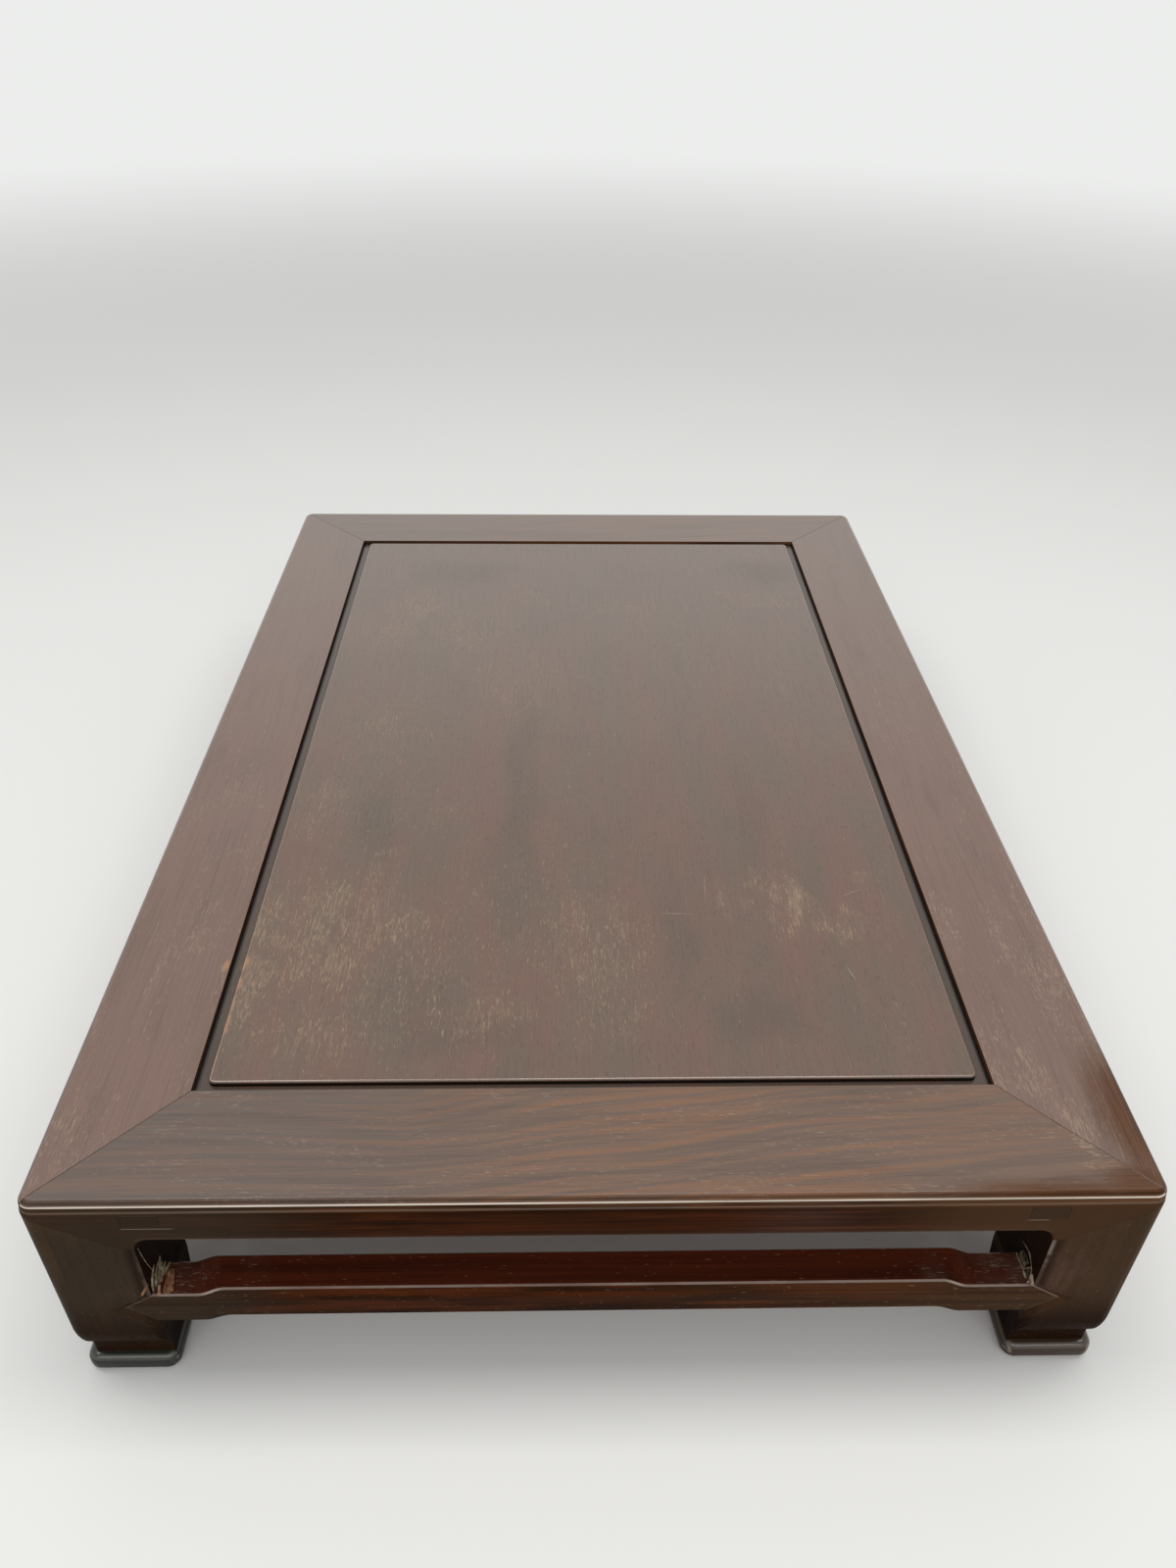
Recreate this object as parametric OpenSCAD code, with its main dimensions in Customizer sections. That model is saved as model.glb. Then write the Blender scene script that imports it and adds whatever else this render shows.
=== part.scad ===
// Low display table of joined hardwood.
// A mitred frame holds a floating panel. Four square legs meet the frame in three-way mitres and end
// in undercut hoof feet. Humpbacked stretchers join the legs with V-shaped mitred shoulders.
// Axes: X across the short side, Y along the long side (front at -Y), Z up from the floor.
// The origin is on the floor, under the middle of the top.

/* [Overall] */
// Width of the top, across the short side
table_w = 310; // [240:1:420]
// Length of the top, along the long side
table_l = 450; // [330:1:640]
// Height from the floor to the top
table_h = 85; // [80:1:130]

/* [Frame] */
// Width of each frame member, seen from above
frame_w = 38; // [36:0.5:60]
// Thickness of the frame
frame_t = 16.5; // [13:0.5:20]
// Radius of the four upright corners, seen from above
corner_r = 4.8; // [4.6:0.1:8]
// Radius of the top outer edge
arris_r = 2.2; // [1:0.1:3]
// How far the top of the outer face leans in
lean_in = 0.5; // [0.1:0.1:1]
// Height of the leaning band below the top
lean_h = 5; // [4:0.5:8]
// Width of the eased band round each side opening
ease_w = 4.5; // [2:0.5:6]
// How deep the eased band falls back at the opening
ease_d = 1; // [0.5:0.1:2]

/* [Frame joints] */
// Width of the through tenon at each end of a long rail
rail_tenon_w = 10.5; // [8:0.5:14]
// Height of the through tenon
rail_tenon_h = 5; // [4:0.5:8]
// Wood left above the through tenon
rail_tenon_cover = 4.5; // [2:0.5:5]
// Wood left between the through tenon and the inner edge of the frame
rail_tenon_margin = 0.3; // [0.2:0.1:2]
// How far below the top the leg mitre starts at the corner
mitre_drop = 3.7; // [2:0.1:6]
// Clearance between two mitred faces
mitre_gap = 0.1; // [0.04:0.02:0.2]
// Clearance round a hidden tenon
tenon_gap = 0.1; // [0.04:0.02:0.3]

/* [Panel] */
// Width of the sunk ledge beside the raised field, along the long rails
ledge_side = 4; // [2:0.5:8]
// Width of the sunk ledge beside the raised field, along the short rails
ledge_end = 3; // [2:0.5:8]
// Depth of the ledge below the top
ledge_d = 1.9; // [1.5:0.1:3]
// Thickness of the panel's tongue
tongue_t = 3.8; // [3:0.1:5]
// Depth of the groove in the frame
groove_d = 5; // [3:0.5:7]
// Room left for the panel to swell, at the bottom of the groove
swell_gap = 0.6; // [0.3:0.1:2]
// Clearance above and below the tongue in its groove
tongue_gap = 0.25; // [0.1:0.05:0.4]
// Full thickness of the panel
panel_t = 8; // [7:0.5:10]
// Plan radius of the raised field's corners
field_r = 2; // [1.2:0.1:5]
// Radius of the raised field's upper edge
field_arris = 0.8; // [0.4:0.1:1.1]

/* [Battens] */
// Distance of each batten from the middle of the table
batten_y = 95; // [60:1:130]
// Width of a batten below the panel
batten_w = 22; // [16:0.5:30]
// Width of the dovetail at its wide upper side
dovetail_w = 18; // [12:0.5:22]
// Height of the dovetail
dovetail_h = 3; // [2:0.5:4]
// How far each side of the dovetail leans
dovetail_lean = 1.2; // [0.5:0.1:2]
// Width of the stub tenon at each end of a batten
batten_tenon_w = 14; // [8:0.5:16]
// Height of the stub tenon
batten_tenon_h = 4; // [3:0.5:5]
// Length of the stub tenon
batten_tenon_l = 9; // [5:0.5:12]
// Clearance of a batten's shoulders and dovetail
batten_gap = 0.1; // [0.05:0.05:0.3]

/* [Legs] */
// Width of a leg on both faces
leg_w = 28; // [26:0.5:33]
// Radius of the corner between frame and leg in each opening
fillet_r = 4.8; // [2:0.1:7]
// Side of the leg's square tenon
leg_tenon_w = 9; // [6:0.5:10]
// Distance of the leg's tenon from the outer faces
leg_tenon_in = 9; // [7:0.5:10]
// Wood left in the frame above the leg's tenon
leg_tenon_cover = 7; // [5:0.5:8]

/* [Feet] */
// Height at which the leg starts to curve in
foot_top = 23; // [18:0.5:26]
// Radius of the upper, slow part of that curve
foot_slow_r = 20; // [16:1:30]
// Angle that the slow part turns through
foot_slow_a = 17; // [10:1:24]
// Radius of the lower, tight part of that curve
foot_tight_r = 3.2; // [2.4:0.1:4.4]
// Angle at which the tight part ends
foot_tight_a = 78; // [60:1:80]
// How far in the foot's neck is, where it meets the pad
neck_in = 3.5; // [3:0.1:4.2]
// Inner side's taper at the foot
foot_taper = 0.4; // [0.2:0.1:2]
// Thickness of the pad under the foot
pad_t = 6.5; // [4:0.5:7.5]
// How far the pad stays inside the leg's outer faces
pad_in = 0.8; // [0.2:0.1:1.2]
// How far the pad stands out past the foot on its inner sides
pad_lip = 1; // [0.1:0.1:1.5]
// Plan radius of the pad's corners
pad_r = 4; // [2.8:0.1:5]
// Radius of the pad's rounded edges
pad_edge_r = 2.6; // [1:0.1:2.7]

/* [Stretchers] */
// Height of the opening above a stretcher's hump
slot_h = 24.5; // [18:0.5:30]
// Height of a stretcher in the middle
stretcher_h = 14; // [11:0.5:16]
// Depth of a stretcher, front to back
stretcher_d = 10.8; // [10:0.2:14]
// How far the top drops at the ends
hump_drop = 3; // [1:0.5:4]
// How far the underside drops at the ends
under_drop = 2.5; // [0.5:0.5:3]
// Distance of the hump's foot from the table's corner
hump_start = 44; // [38:1:60]
// Length of the slope up to the hump
hump_run = 8; // [6:1:20]
// How much nearer to the legs the slope is at the back
hump_skew = 4; // [0:0.5:5]
// How far the front stretcher's hump sits left of the middle
hump_shift = 3; // [0:0.5:4]
// Depth of the stretcher's arrises behind the leg's face
stretcher_back = 1; // [1:0.1:2.5]
// How far the ridge on the face stands in front of the arrises
ridge_out = 0.5; // [0.2:0.1:0.9]
// Height of the ridge below the top arris
ridge_drop = 5.2; // [4:0.1:7]
// Easing of the stretcher's long edges
edge_ease = 0.5; // [0.2:0.1:0.8]

/* [Stretcher joints] */
// Reach of the V-shaped shoulder into the leg's face
vee_l = 8.4; // [6:0.2:11]
// Width of the bevelled band that the leg has round the V
vee_band = 2.6; // [2:0.2:5]
// Depth of the V-shaped tongue behind the leg's face
vee_d = 5; // [4:0.2:6]
// Length of a stretcher's tenon
side_tenon_l = 12; // [8:0.5:14]
// Thickness of a stretcher's tenon
side_tenon_t = 5; // [3:0.5:5.5]
// Height of a stretcher's tenon
side_tenon_h = 8; // [5:0.5:9]

/* [Hidden] */
$fn = 48;

rail_wood = "#5a3426";
panel_wood = "#4a2e25";
leg_wood = "#4c2c20";
stretcher_wood = "#452017";
batten_wood = "#6b4632";

// Cutting bodies run this far past the faces that they open
past = 1;
// Heights that several pieces share
frame_z = table_h - frame_t;
mitre_z = table_h - mitre_drop;
fillet_z = frame_z - fillet_r;
groove_top = table_h - ledge_d + tongue_gap;
groove_h = tongue_t + 2 * tongue_gap;
tenon_top = table_h - rail_tenon_cover;
panel_under = table_h - panel_t;
// The opening in the frame, and the raised field inside it
opening_w = table_w - 2 * frame_w;
opening_l = table_l - 2 * frame_w;
field_w = opening_w - 2 * ledge_side;
field_l = opening_l - 2 * ledge_end;
tongue_reach = groove_d - swell_gap;
// The through tenon's near side, from the table's long outer face
rail_tenon_x = frame_w - rail_tenon_margin - rail_tenon_w;
// The radius of an eased band whose curve starts flat on the face
ease_r = (ease_w * ease_w + ease_d * ease_d) / (2 * ease_d);
// The stretcher's heights in the middle and at its ends
hump_top = frame_z - slot_h;
end_top = hump_top - hump_drop;
hump_under = hump_top - stretcher_h;
end_under = hump_under - under_drop;
vee_z = end_top - ridge_drop;
vee_tip = leg_w - vee_l;
// The two arcs of the foot's curve, tangent to the outer face and to each other, down to the neck
slow_in = foot_slow_r * (1 - cos(foot_slow_a));
slow_down = foot_slow_r * sin(foot_slow_a);
tight_in = foot_tight_r * (cos(foot_slow_a) - cos(foot_tight_a));
tight_down = foot_tight_r * (sin(foot_tight_a) - sin(foot_slow_a));
neck_z = foot_top - slow_down - tight_down;
pad_w = leg_w - foot_taper + pad_lip - pad_in;

// Points on an arc about a centre, from one angle to another
function arc(centre, r, from, to, steps) = [
    for (i = [0 : steps])
        let (a = from + (to - from) * i / steps)
            [centre[0] + r * cos(a), centre[1] + r * sin(a)]
];

// A smooth rise from 0 to 1
function smooth(t) = t <= 0 ? 0 : t >= 1 ? 1 : t * t * (3 - 2 * t);

// How much of the hump's rise is reached at a distance from the corner
function hump_rise(reach) = smooth((reach - hump_start) / hump_run);

// Puts a piece drawn from the front left corner at one of the four corners
module at_corner(side, end) {
    translate([side * table_w / 2, end * table_l / 2, 0])
        mirror([side > 0 ? 1 : 0, 0, 0])
            mirror([0, end > 0 ? 1 : 0, 0])
                children();
}

// Repeats what is drawn at the front left corner at the other end of the same side
module both_ends(length) {
    children();
    translate([length, 0, 0])
        mirror([1, 0, 0])
            children();
}

// Stands a drawing of a short side up, from the table's left, and gives it a depth from the front
module from_front(depth) {
    translate([0, depth, 0])
        rotate([90, 0, 0])
            linear_extrude(depth + past)
                children();
}

// The same for a drawing of a long side, turned into the corner's own Y and Z
module from_side(depth) {
    translate([-past, 0, 0])
        rotate([90, 0, 90])
            linear_extrude(depth + past)
                children();
}

// What the maker takes off the square outer face, with the face at x = 0 and the wood at x > 0
module face_cuts() {
    // the rounded top edge
    difference() {
        translate([-past, table_h - arris_r])
            square([lean_in + arris_r + past, arris_r + past]);
        translate([lean_in + arris_r, table_h - arris_r])
            circle(r = arris_r);
    }
    // the band that leans in below it
    polygon([
        [0, table_h - lean_h], [-past, table_h - lean_h],
        [-past, table_h], [lean_in, table_h], [lean_in, table_h - arris_r]
    ]);
    // the hollow over the foot
    polygon(concat(
        [[-past, foot_top], [0, foot_top]],
        arc([foot_slow_r, foot_top], foot_slow_r, 180, 180 + foot_slow_a, 6),
        arc(
            [
                slow_in + foot_tight_r * cos(foot_slow_a),
                foot_top - slow_down + foot_tight_r * sin(foot_slow_a)
            ],
            foot_tight_r, 180 + foot_slow_a, 180 + foot_tight_a, 10
        ),
        [[neck_in, pad_t], [neck_in, -past], [-past, -past]]
    ));
}

// The outer face's section, from the face inward
module face_section(reach) {
    difference() {
        square([reach, table_h]);
        face_cuts();
    }
}

// The face running along X, between two distances from the corner
module face_run(from, to, depth) {
    translate([to, 0, 0])
        mirror([1, 0, 0])
            rotate([90, 0, 90])
                linear_extrude(to - from)
                    face_section(depth);
}

// The rounded upright corner between two faces
module face_corner() {
    translate([corner_r, corner_r, 0])
        rotate_extrude()
            difference() {
                square([corner_r, table_h]);
                translate([corner_r, 0])
                    mirror([1, 0])
                        face_cuts();
            }
}

// The section of the eased band, from the opening's edge at x = 0 into the wood at x > 0
module ease_section() {
    difference() {
        translate([-past, -past])
            square([ease_w + past, ease_d + past]);
        translate([ease_w, ease_r])
            circle(r = ease_r, $fn = 96);
    }
}

// The easing at one end of a side opening: up the leg and round the corner
module ease_corner() {
    translate([leg_w, 0, 0])
        linear_extrude(fillet_z)
            mirror([1, 0, 0])
                ease_section();
    intersection() {
        translate([leg_w + fillet_r, 0, fillet_z])
            rotate([-90, 0, 0])
                rotate_extrude()
                    translate([fillet_r, 0])
                        ease_section();
        translate([leg_w - ease_w, -past, fillet_z])
            cube([fillet_r + ease_w, ease_d + 2 * past, fillet_r + ease_w]);
    }
}

// The easing along a rail's lower edge, round both corners of its opening
module rail_ease(length) {
    translate([leg_w + fillet_r, 0, frame_z])
        rotate([90, 0, 90])
            linear_extrude(length - 2 * leg_w - 2 * fillet_r)
                rotate([0, 0, 90])
                    mirror([0, 1, 0])
                        ease_section();
    both_ends(length)
        ease_corner();
}

// A rail as seen from outside: the mitres to both legs, and the opening's rounded corners
module rail_elevation(length) {
    difference() {
        translate([0, fillet_z])
            square([length, table_h - fillet_z]);
        both_ends(length)
            polygon([
                [-past, fillet_z - past], [leg_w, fillet_z - past], [leg_w, fillet_z + mitre_gap],
                [0, mitre_z + mitre_gap], [-past, mitre_z + mitre_gap]
            ]);
        translate([leg_w + fillet_r, fillet_z - past])
            square([length - 2 * leg_w - 2 * fillet_r, fillet_r + past]);
        translate([leg_w, fillet_z - past])
            square([length - 2 * leg_w, past]);
        for (x = [leg_w + fillet_r, length - leg_w - fillet_r])
            translate([x, fillet_z])
                circle(r = fillet_r);
    }
}

// A rail's blank, mitred at both ends, drawn from the front left corner
module rail_blank(length) {
    intersection() {
        union() {
            face_run(corner_r, length - corner_r, frame_w);
            both_ends(length)
                face_corner();
        }
        union() {
            from_front(leg_w)
                rail_elevation(length);
            translate([0, leg_w, frame_z])
                cube([length, frame_w - leg_w, frame_t]);
        }
        translate([0, 0, fillet_z])
            linear_extrude(table_h - fillet_z + past)
                polygon([
                    [mitre_gap, 0], [length - mitre_gap, 0],
                    [length - frame_w - mitre_gap, frame_w], [frame_w + mitre_gap, frame_w]
                ]);
    }
}

// The groove that the panel's tongue floats in
module panel_groove() {
    translate([-opening_w / 2 - groove_d, -opening_l / 2 - groove_d, groove_top - groove_h])
        cube([opening_w + 2 * groove_d, opening_l + 2 * groove_d, groove_h]);
}

// A through tenon from inside a long rail out to the short side, at the front left corner
module rail_tenon(gap) {
    translate([rail_tenon_x - gap, 0, tenon_top - rail_tenon_h - gap])
        cube([rail_tenon_w + 2 * gap, frame_w + groove_d, rail_tenon_h + 2 * gap]);
}

// The same tenon, trimmed to follow the short side's face
module trimmed_rail_tenon() {
    intersection() {
        rail_tenon(0);
        face_run(corner_r, table_w / 2, 2 * frame_w);
    }
}

// The leg's stub tenon, which rises into both rails
module leg_tenon(gap) {
    translate([leg_tenon_in - gap, leg_tenon_in - gap, fillet_z - fillet_r])
        cube([
            leg_tenon_w + 2 * gap, leg_tenon_w + 2 * gap,
            table_h - leg_tenon_cover + gap - fillet_z + fillet_r
        ]);
}

// A batten's stub tenons
module batten_tenons(gap) {
    reach = opening_w / 2 + batten_tenon_l + gap;
    low = (frame_z + panel_under - batten_tenon_h) / 2;
    translate([-reach, -batten_tenon_w / 2 - gap, low - gap])
        cube([2 * reach, batten_tenon_w + 2 * gap, batten_tenon_h + 2 * gap]);
}

// What both kinds of rail have, drawn from the front left corner
module plain_rail(length) {
    difference() {
        rail_blank(length);
        both_ends(length)
            leg_tenon(tenon_gap);
        rail_ease(length);
    }
}

module long_rail(side) {
    color(rail_wood)
        difference() {
            at_corner(side, -1) {
                mirror([1, -1, 0])
                    plain_rail(table_l);
                trimmed_rail_tenon();
                translate([0, table_l, 0])
                    mirror([0, 1, 0])
                        trimmed_rail_tenon();
            }
            panel_groove();
            for (end = [-1, 1])
                translate([0, end * batten_y, 0])
                    batten_tenons(tenon_gap);
        }
}

module short_rail(end) {
    color(rail_wood)
        difference() {
            at_corner(-1, end)
                difference() {
                    plain_rail(table_w);
                    both_ends(table_w)
                        translate([0, -past, 0])
                            rail_tenon(tenon_gap);
                }
            panel_groove();
        }
}

// A slab whose upright edges are rounded in plan, with an edge drawing cut all round it
module edged_slab(width, length, radius, height) {
    for (turn = [0, 180]) {
        rotate([0, 0, turn]) {
            translate([0, length / 2 - radius, 0])
                rotate([90, 0, 0])
                    linear_extrude(length - 2 * radius)
                        difference() {
                            square([width / 2, height]);
                            translate([width / 2, 0])
                                children();
                        }
            translate([-width / 2 + radius, 0, 0])
                rotate([90, 0, 90])
                    linear_extrude(width - 2 * radius)
                        difference() {
                            square([length / 2, height]);
                            translate([length / 2, 0])
                                children();
                        }
        }
    }
    for (side = [-1, 1], end = [-1, 1])
        translate([side * (width / 2 - radius), end * (length / 2 - radius), 0])
            rotate_extrude()
                difference() {
                    square([radius, height]);
                    translate([radius, 0])
                        children();
                }
}

// Rounds an edge at the given height, upward or downward
module edge_round(radius, height, up) {
    translate([0, height])
        mirror([0, up ? 0 : 1])
            difference() {
                translate([-radius, -radius])
                    square(radius + past);
                translate([-radius, -radius])
                    circle(r = radius);
            }
}

// The batten's dovetail, and the room that the panel has for it
module dovetail(length, gap) {
    wide = dovetail_w / 2 + gap;
    narrow = wide - dovetail_lean;
    translate([-length / 2, 0, panel_under])
        rotate([90, 0, 90])
            linear_extrude(length)
                polygon([
                    [-narrow, -past], [narrow, -past], [narrow, 0],
                    [wide, dovetail_h + gap], [-wide, dovetail_h + gap], [-narrow, 0]
                ]);
}

module centre_panel() {
    color(panel_wood)
        difference() {
            union() {
                translate([0, 0, panel_under])
                    edged_slab(field_w, field_l, field_r, panel_t)
                        edge_round(field_arris, panel_t, true);
                translate([
                    -opening_w / 2 - tongue_reach, -opening_l / 2 - tongue_reach,
                    table_h - ledge_d - tongue_t
                ])
                    cube([opening_w + 2 * tongue_reach, opening_l + 2 * tongue_reach, tongue_t]);
            }
            for (end = [-1, 1])
                translate([0, end * batten_y, 0])
                    dovetail(opening_w + 2 * groove_d + past, batten_gap);
        }
}

module batten(end) {
    span = opening_w - 2 * batten_gap;
    color(batten_wood)
        translate([0, end * batten_y, 0]) {
            translate([-span / 2, -batten_w / 2, frame_z])
                cube([span, batten_w, panel_under - frame_z]);
            dovetail(span, 0);
            batten_tenons(0);
        }
}

// The leg as seen from either outer face, without the foot's hollow
module leg_elevation() {
    polygon([
        [0, pad_t / 2], [leg_w - foot_taper, pad_t / 2], [leg_w - foot_taper, neck_z],
        [leg_w, foot_top], [leg_w, fillet_z], [0, mitre_z]
    ]);
}

// The V-shaped outline of a stretcher's shoulder on the leg's face, grown by the given amount
module vee(grow) {
    rise = end_top - vee_z;
    fall = vee_z - end_under;
    slant_up = grow * sqrt(vee_l * vee_l + rise * rise) / vee_l;
    slant_down = grow * sqrt(vee_l * vee_l + fall * fall) / vee_l;
    tip = (slant_up + slant_down) / 2 * vee_l / ((rise + fall) / 2);
    polygon([
        [leg_w + past, end_top + slant_up + past * rise / vee_l],
        [vee_tip - tip, vee_z],
        [leg_w + past, end_under - slant_down - past * fall / vee_l]
    ]);
}

// What one stretcher's joint takes out of a leg, on the leg's front face
module stretcher_socket() {
    // the V-shaped seat
    from_front(vee_d + tenon_gap)
        vee(mitre_gap);
    // the bevelled band round it
    hull() {
        translate([0, -past, 0])
            from_front_slice()
                vee(vee_band + vee_band * past / stretcher_back);
        translate([0, stretcher_back, 0])
            from_front_slice()
                vee(mitre_gap);
    }
    // the mortise behind it
    translate([leg_w - side_tenon_l - tenon_gap, vee_d, vee_z - side_tenon_h / 2])
        stretcher_tenon_block(side_tenon_l + tenon_gap + past, tenon_gap);
}

// A thin upright slice of a drawing, for blending
module from_front_slice() {
    rotate([90, 0, 0])
        linear_extrude(mitre_gap / 10)
            children();
}

// The cross-section of a stretcher's tenon, run along X
module stretcher_tenon_block(length, gap) {
    translate([0, -gap, -gap])
        cube([length, side_tenon_t + 2 * gap, side_tenon_h + 2 * gap]);
}

// The pad under a foot, with its rounded edges
module foot_pad() {
    translate([pad_in + pad_w / 2, pad_in + pad_w / 2, 0])
        edged_slab(pad_w, pad_w, pad_r, pad_t) {
            edge_round(pad_edge_r, pad_t, true);
            edge_round(pad_edge_r, 0, false);
        }
}

// A leg's post, drawn from the front left corner
module leg_post() {
    intersection() {
        union() {
            face_run(corner_r, leg_w, leg_w);
            mirror([1, -1, 0])
                face_run(corner_r, leg_w, leg_w);
            face_corner();
        }
        from_front(leg_w)
            leg_elevation();
        from_side(leg_w)
            leg_elevation();
    }
}

module leg(side, end) {
    color(leg_wood)
        at_corner(side, end) {
            difference() {
                leg_post();
                for (turn = [0, 1])
                    mirror([turn, -turn, 0]) {
                        ease_corner();
                        stretcher_socket();
                    }
            }
            foot_pad();
            leg_tenon(0);
        }
}

// One cross-section of a stretcher at a place along it, as points [x, y, z]
function stretcher_ring(length, shift, x) =
    let (
        reach = min(x + shift, length - x - shift),
        rise = hump_rise(reach),
        top = end_top + hump_drop * rise,
        back_top = end_top + hump_drop * hump_rise(reach + hump_skew),
        under = end_under + under_drop * rise,
        front = stretcher_back,
        back = stretcher_back + stretcher_d
    )
    [
        [x, front, under + edge_ease], [x, front + edge_ease, under],
        [x, back - edge_ease, under], [x, back, under + edge_ease],
        [x, back, back_top - edge_ease], [x, back - edge_ease, back_top],
        [x, front + edge_ease, top], [x, front, top - edge_ease],
        [x, front - ridge_out, top - ridge_drop]
    ];

// Places up the slope of a hump, from its foot at the back to its head at the front
ramp_steps = 14;
function ramp_place(i) = hump_start - hump_skew + (hump_run + hump_skew) * i / ramp_steps;

// Places along a stretcher where its section is set
function stretcher_places(length, shift) = concat(
    [vee_tip],
    [for (i = [0 : ramp_steps]) ramp_place(i) - shift],
    [for (i = [ramp_steps : -1 : 0]) length - ramp_place(i) - shift],
    [length - vee_tip]
);

// A stretcher's bar, drawn from the front left corner, running along X past both shoulders
module stretcher_bar(length, shift) {
    places = stretcher_places(length, shift);
    rings = [for (x = places) stretcher_ring(length, shift, x)];
    sides = len(rings[0]);
    last = len(places) - 1;
    polyhedron(
        points = [for (ring = rings) for (p = ring) p],
        faces = concat(
            [[for (k = [0 : sides - 1]) k]],
            [
                for (i = [0 : last - 1]) for (k = [0 : sides - 1])
                    let (a = i * sides + k, b = i * sides + (k + 1) % sides)
                        [a, a + sides, b + sides, b]
            ],
            [[for (k = [sides - 1 : -1 : 0]) last * sides + k]]
        )
    );
}

module stretcher(length, shift) {
    color(stretcher_wood) {
        intersection() {
            stretcher_bar(length, shift);
            union() {
                // the bar between the legs
                translate([leg_w + mitre_gap, 0, 0])
                    cube([length - 2 * leg_w - 2 * mitre_gap, leg_w, table_h]);
                // the V-shaped tongue at each end
                both_ends(length)
                    from_front(vee_d)
                        vee(0);
            }
        }
        // the tenons
        translate([leg_w - side_tenon_l, vee_d, vee_z - side_tenon_h / 2])
            stretcher_tenon_block(length - 2 * leg_w + 2 * side_tenon_l, 0);
    }
}

module side_stretcher(side) {
    at_corner(side, -1)
        mirror([1, -1, 0])
            stretcher(table_l, 0);
}

module end_stretcher(end) {
    at_corner(-1, end)
        stretcher(table_w, end < 0 ? hump_shift : 0);
}

long_rail(-1);  // long_rail_left
long_rail(1);  // long_rail_right
short_rail(-1);  // short_rail_front
short_rail(1);  // short_rail_back
centre_panel();
batten(-1);  // batten_front
batten(1);  // batten_back
leg(-1, -1);  // leg_front_left
leg(1, -1);  // leg_front_right
leg(-1, 1);  // leg_back_left
leg(1, 1);  // leg_back_right
end_stretcher(-1);  // stretcher_front
end_stretcher(1);  // stretcher_back
side_stretcher(-1);  // stretcher_left
side_stretcher(1);  // stretcher_right
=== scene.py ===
"""Finishes, wear and a plain studio for a low display table of joined hardwood.

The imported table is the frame. Every piece of wood gets a finish of its own, with its grain along
the piece, and the floor, the lamps and the camera are set round it.
"""

from collections import namedtuple
from math import cos, pi, radians, sin
from random import Random

import bmesh
import bpy
from bpy.props import FloatProperty, FloatVectorProperty, PointerProperty
from mathutils import Color, Matrix, Vector


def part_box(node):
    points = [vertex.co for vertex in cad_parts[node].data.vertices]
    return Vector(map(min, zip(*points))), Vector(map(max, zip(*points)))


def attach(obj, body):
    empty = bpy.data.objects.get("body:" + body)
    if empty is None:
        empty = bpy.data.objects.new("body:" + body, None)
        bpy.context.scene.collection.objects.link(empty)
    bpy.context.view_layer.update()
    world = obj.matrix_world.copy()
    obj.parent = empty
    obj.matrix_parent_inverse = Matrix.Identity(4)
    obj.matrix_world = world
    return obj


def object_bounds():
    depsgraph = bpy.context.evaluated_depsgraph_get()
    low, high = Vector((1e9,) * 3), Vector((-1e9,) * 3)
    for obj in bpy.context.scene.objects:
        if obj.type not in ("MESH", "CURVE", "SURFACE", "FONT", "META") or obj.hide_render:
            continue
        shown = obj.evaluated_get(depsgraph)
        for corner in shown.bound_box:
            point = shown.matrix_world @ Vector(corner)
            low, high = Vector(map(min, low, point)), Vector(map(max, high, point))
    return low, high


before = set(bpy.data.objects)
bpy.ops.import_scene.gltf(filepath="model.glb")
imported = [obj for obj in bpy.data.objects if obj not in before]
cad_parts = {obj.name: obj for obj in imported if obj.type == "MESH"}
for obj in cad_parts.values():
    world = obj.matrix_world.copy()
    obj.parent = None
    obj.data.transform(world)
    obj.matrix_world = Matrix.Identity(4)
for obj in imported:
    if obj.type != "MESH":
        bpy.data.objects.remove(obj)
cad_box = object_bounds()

bl_info = {
    "name": "Low Display Table",
    "version": (1, 0, 0),
    "blender": (4, 5, 0),
    "location": "View3D > Sidebar > Table",
    "description": "Finishes, wear and a plain studio for a low display table",
    "category": "Object",
}

# Millimetres in a metre: finishes and scraps are laid out in millimetres
MM = 1000
HALF_W = cad_box[1].x * MM
HALF_L = cad_box[1].y * MM
TOP = cad_box[1].z * MM
FRAME_W = (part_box("short_rail_front")[1].y - cad_box[0].y) * MM
LEG_W = 28.0
PAD_TOP = 6.5
# The tip of a stretcher's point on the leg: how far in from the outer face, and how high
POINT_IN, POINT_Z = 19.6, 35.8
# How steeply the upper and the lower edge of a point run
POINT_RISE, POINT_FALL = 0.619, 0.988
# Height of the bright lip under a through tenon's end
TENON_LIP_Z = 74.9
# How far below the top the upper arris reaches, and down to where it counts in full
ARRIS = (3.2, 2.6)
# Where the short rails' figure begins to climb to the right, and how steeply
FIGURE_START, FIGURE_CLIMB = -55.0, 0.13

# Length along the grain and across it of the wood's streaks, fibres and pores
STREAK_SIZE, FIBRE_SIZE, PORE_SIZE = (300, 5), (30, 0.55), (3.0, 0.34)
# The part of the fibres' noise over which a fibre darkens
FIBRE_RANGE = (0.45, 0.75)
# The part of the specks' noise over which a dash turns pale, and how far full wear lifts the noise
DASH_RANGE, DASH_LIFT = (0.735, 0.81), 0.19
# How far up a face looks, from 1 to -1, where the unpolished underside begins and is whole
UNDERSIDE = (-0.2, -0.6)

# How much the bare wood shines, and how blurred and how strong its polish is
MATT_SHINE = 0.015
POLISH_ROUGHNESS = 0.2
POLISH_IOR = 1.6


def tone(name, text, colour):
    """A tone that the user may change, as it looks on a screen."""
    return FloatVectorProperty(
        name=name, description=text, subtype="COLOR_GAMMA", size=3, min=0, max=1, default=colour
    )


def share(name, text, amount):
    """An amount from none to full."""
    return FloatProperty(
        name=name, description=text, subtype="FACTOR", min=0, max=1, default=amount
    )


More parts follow.
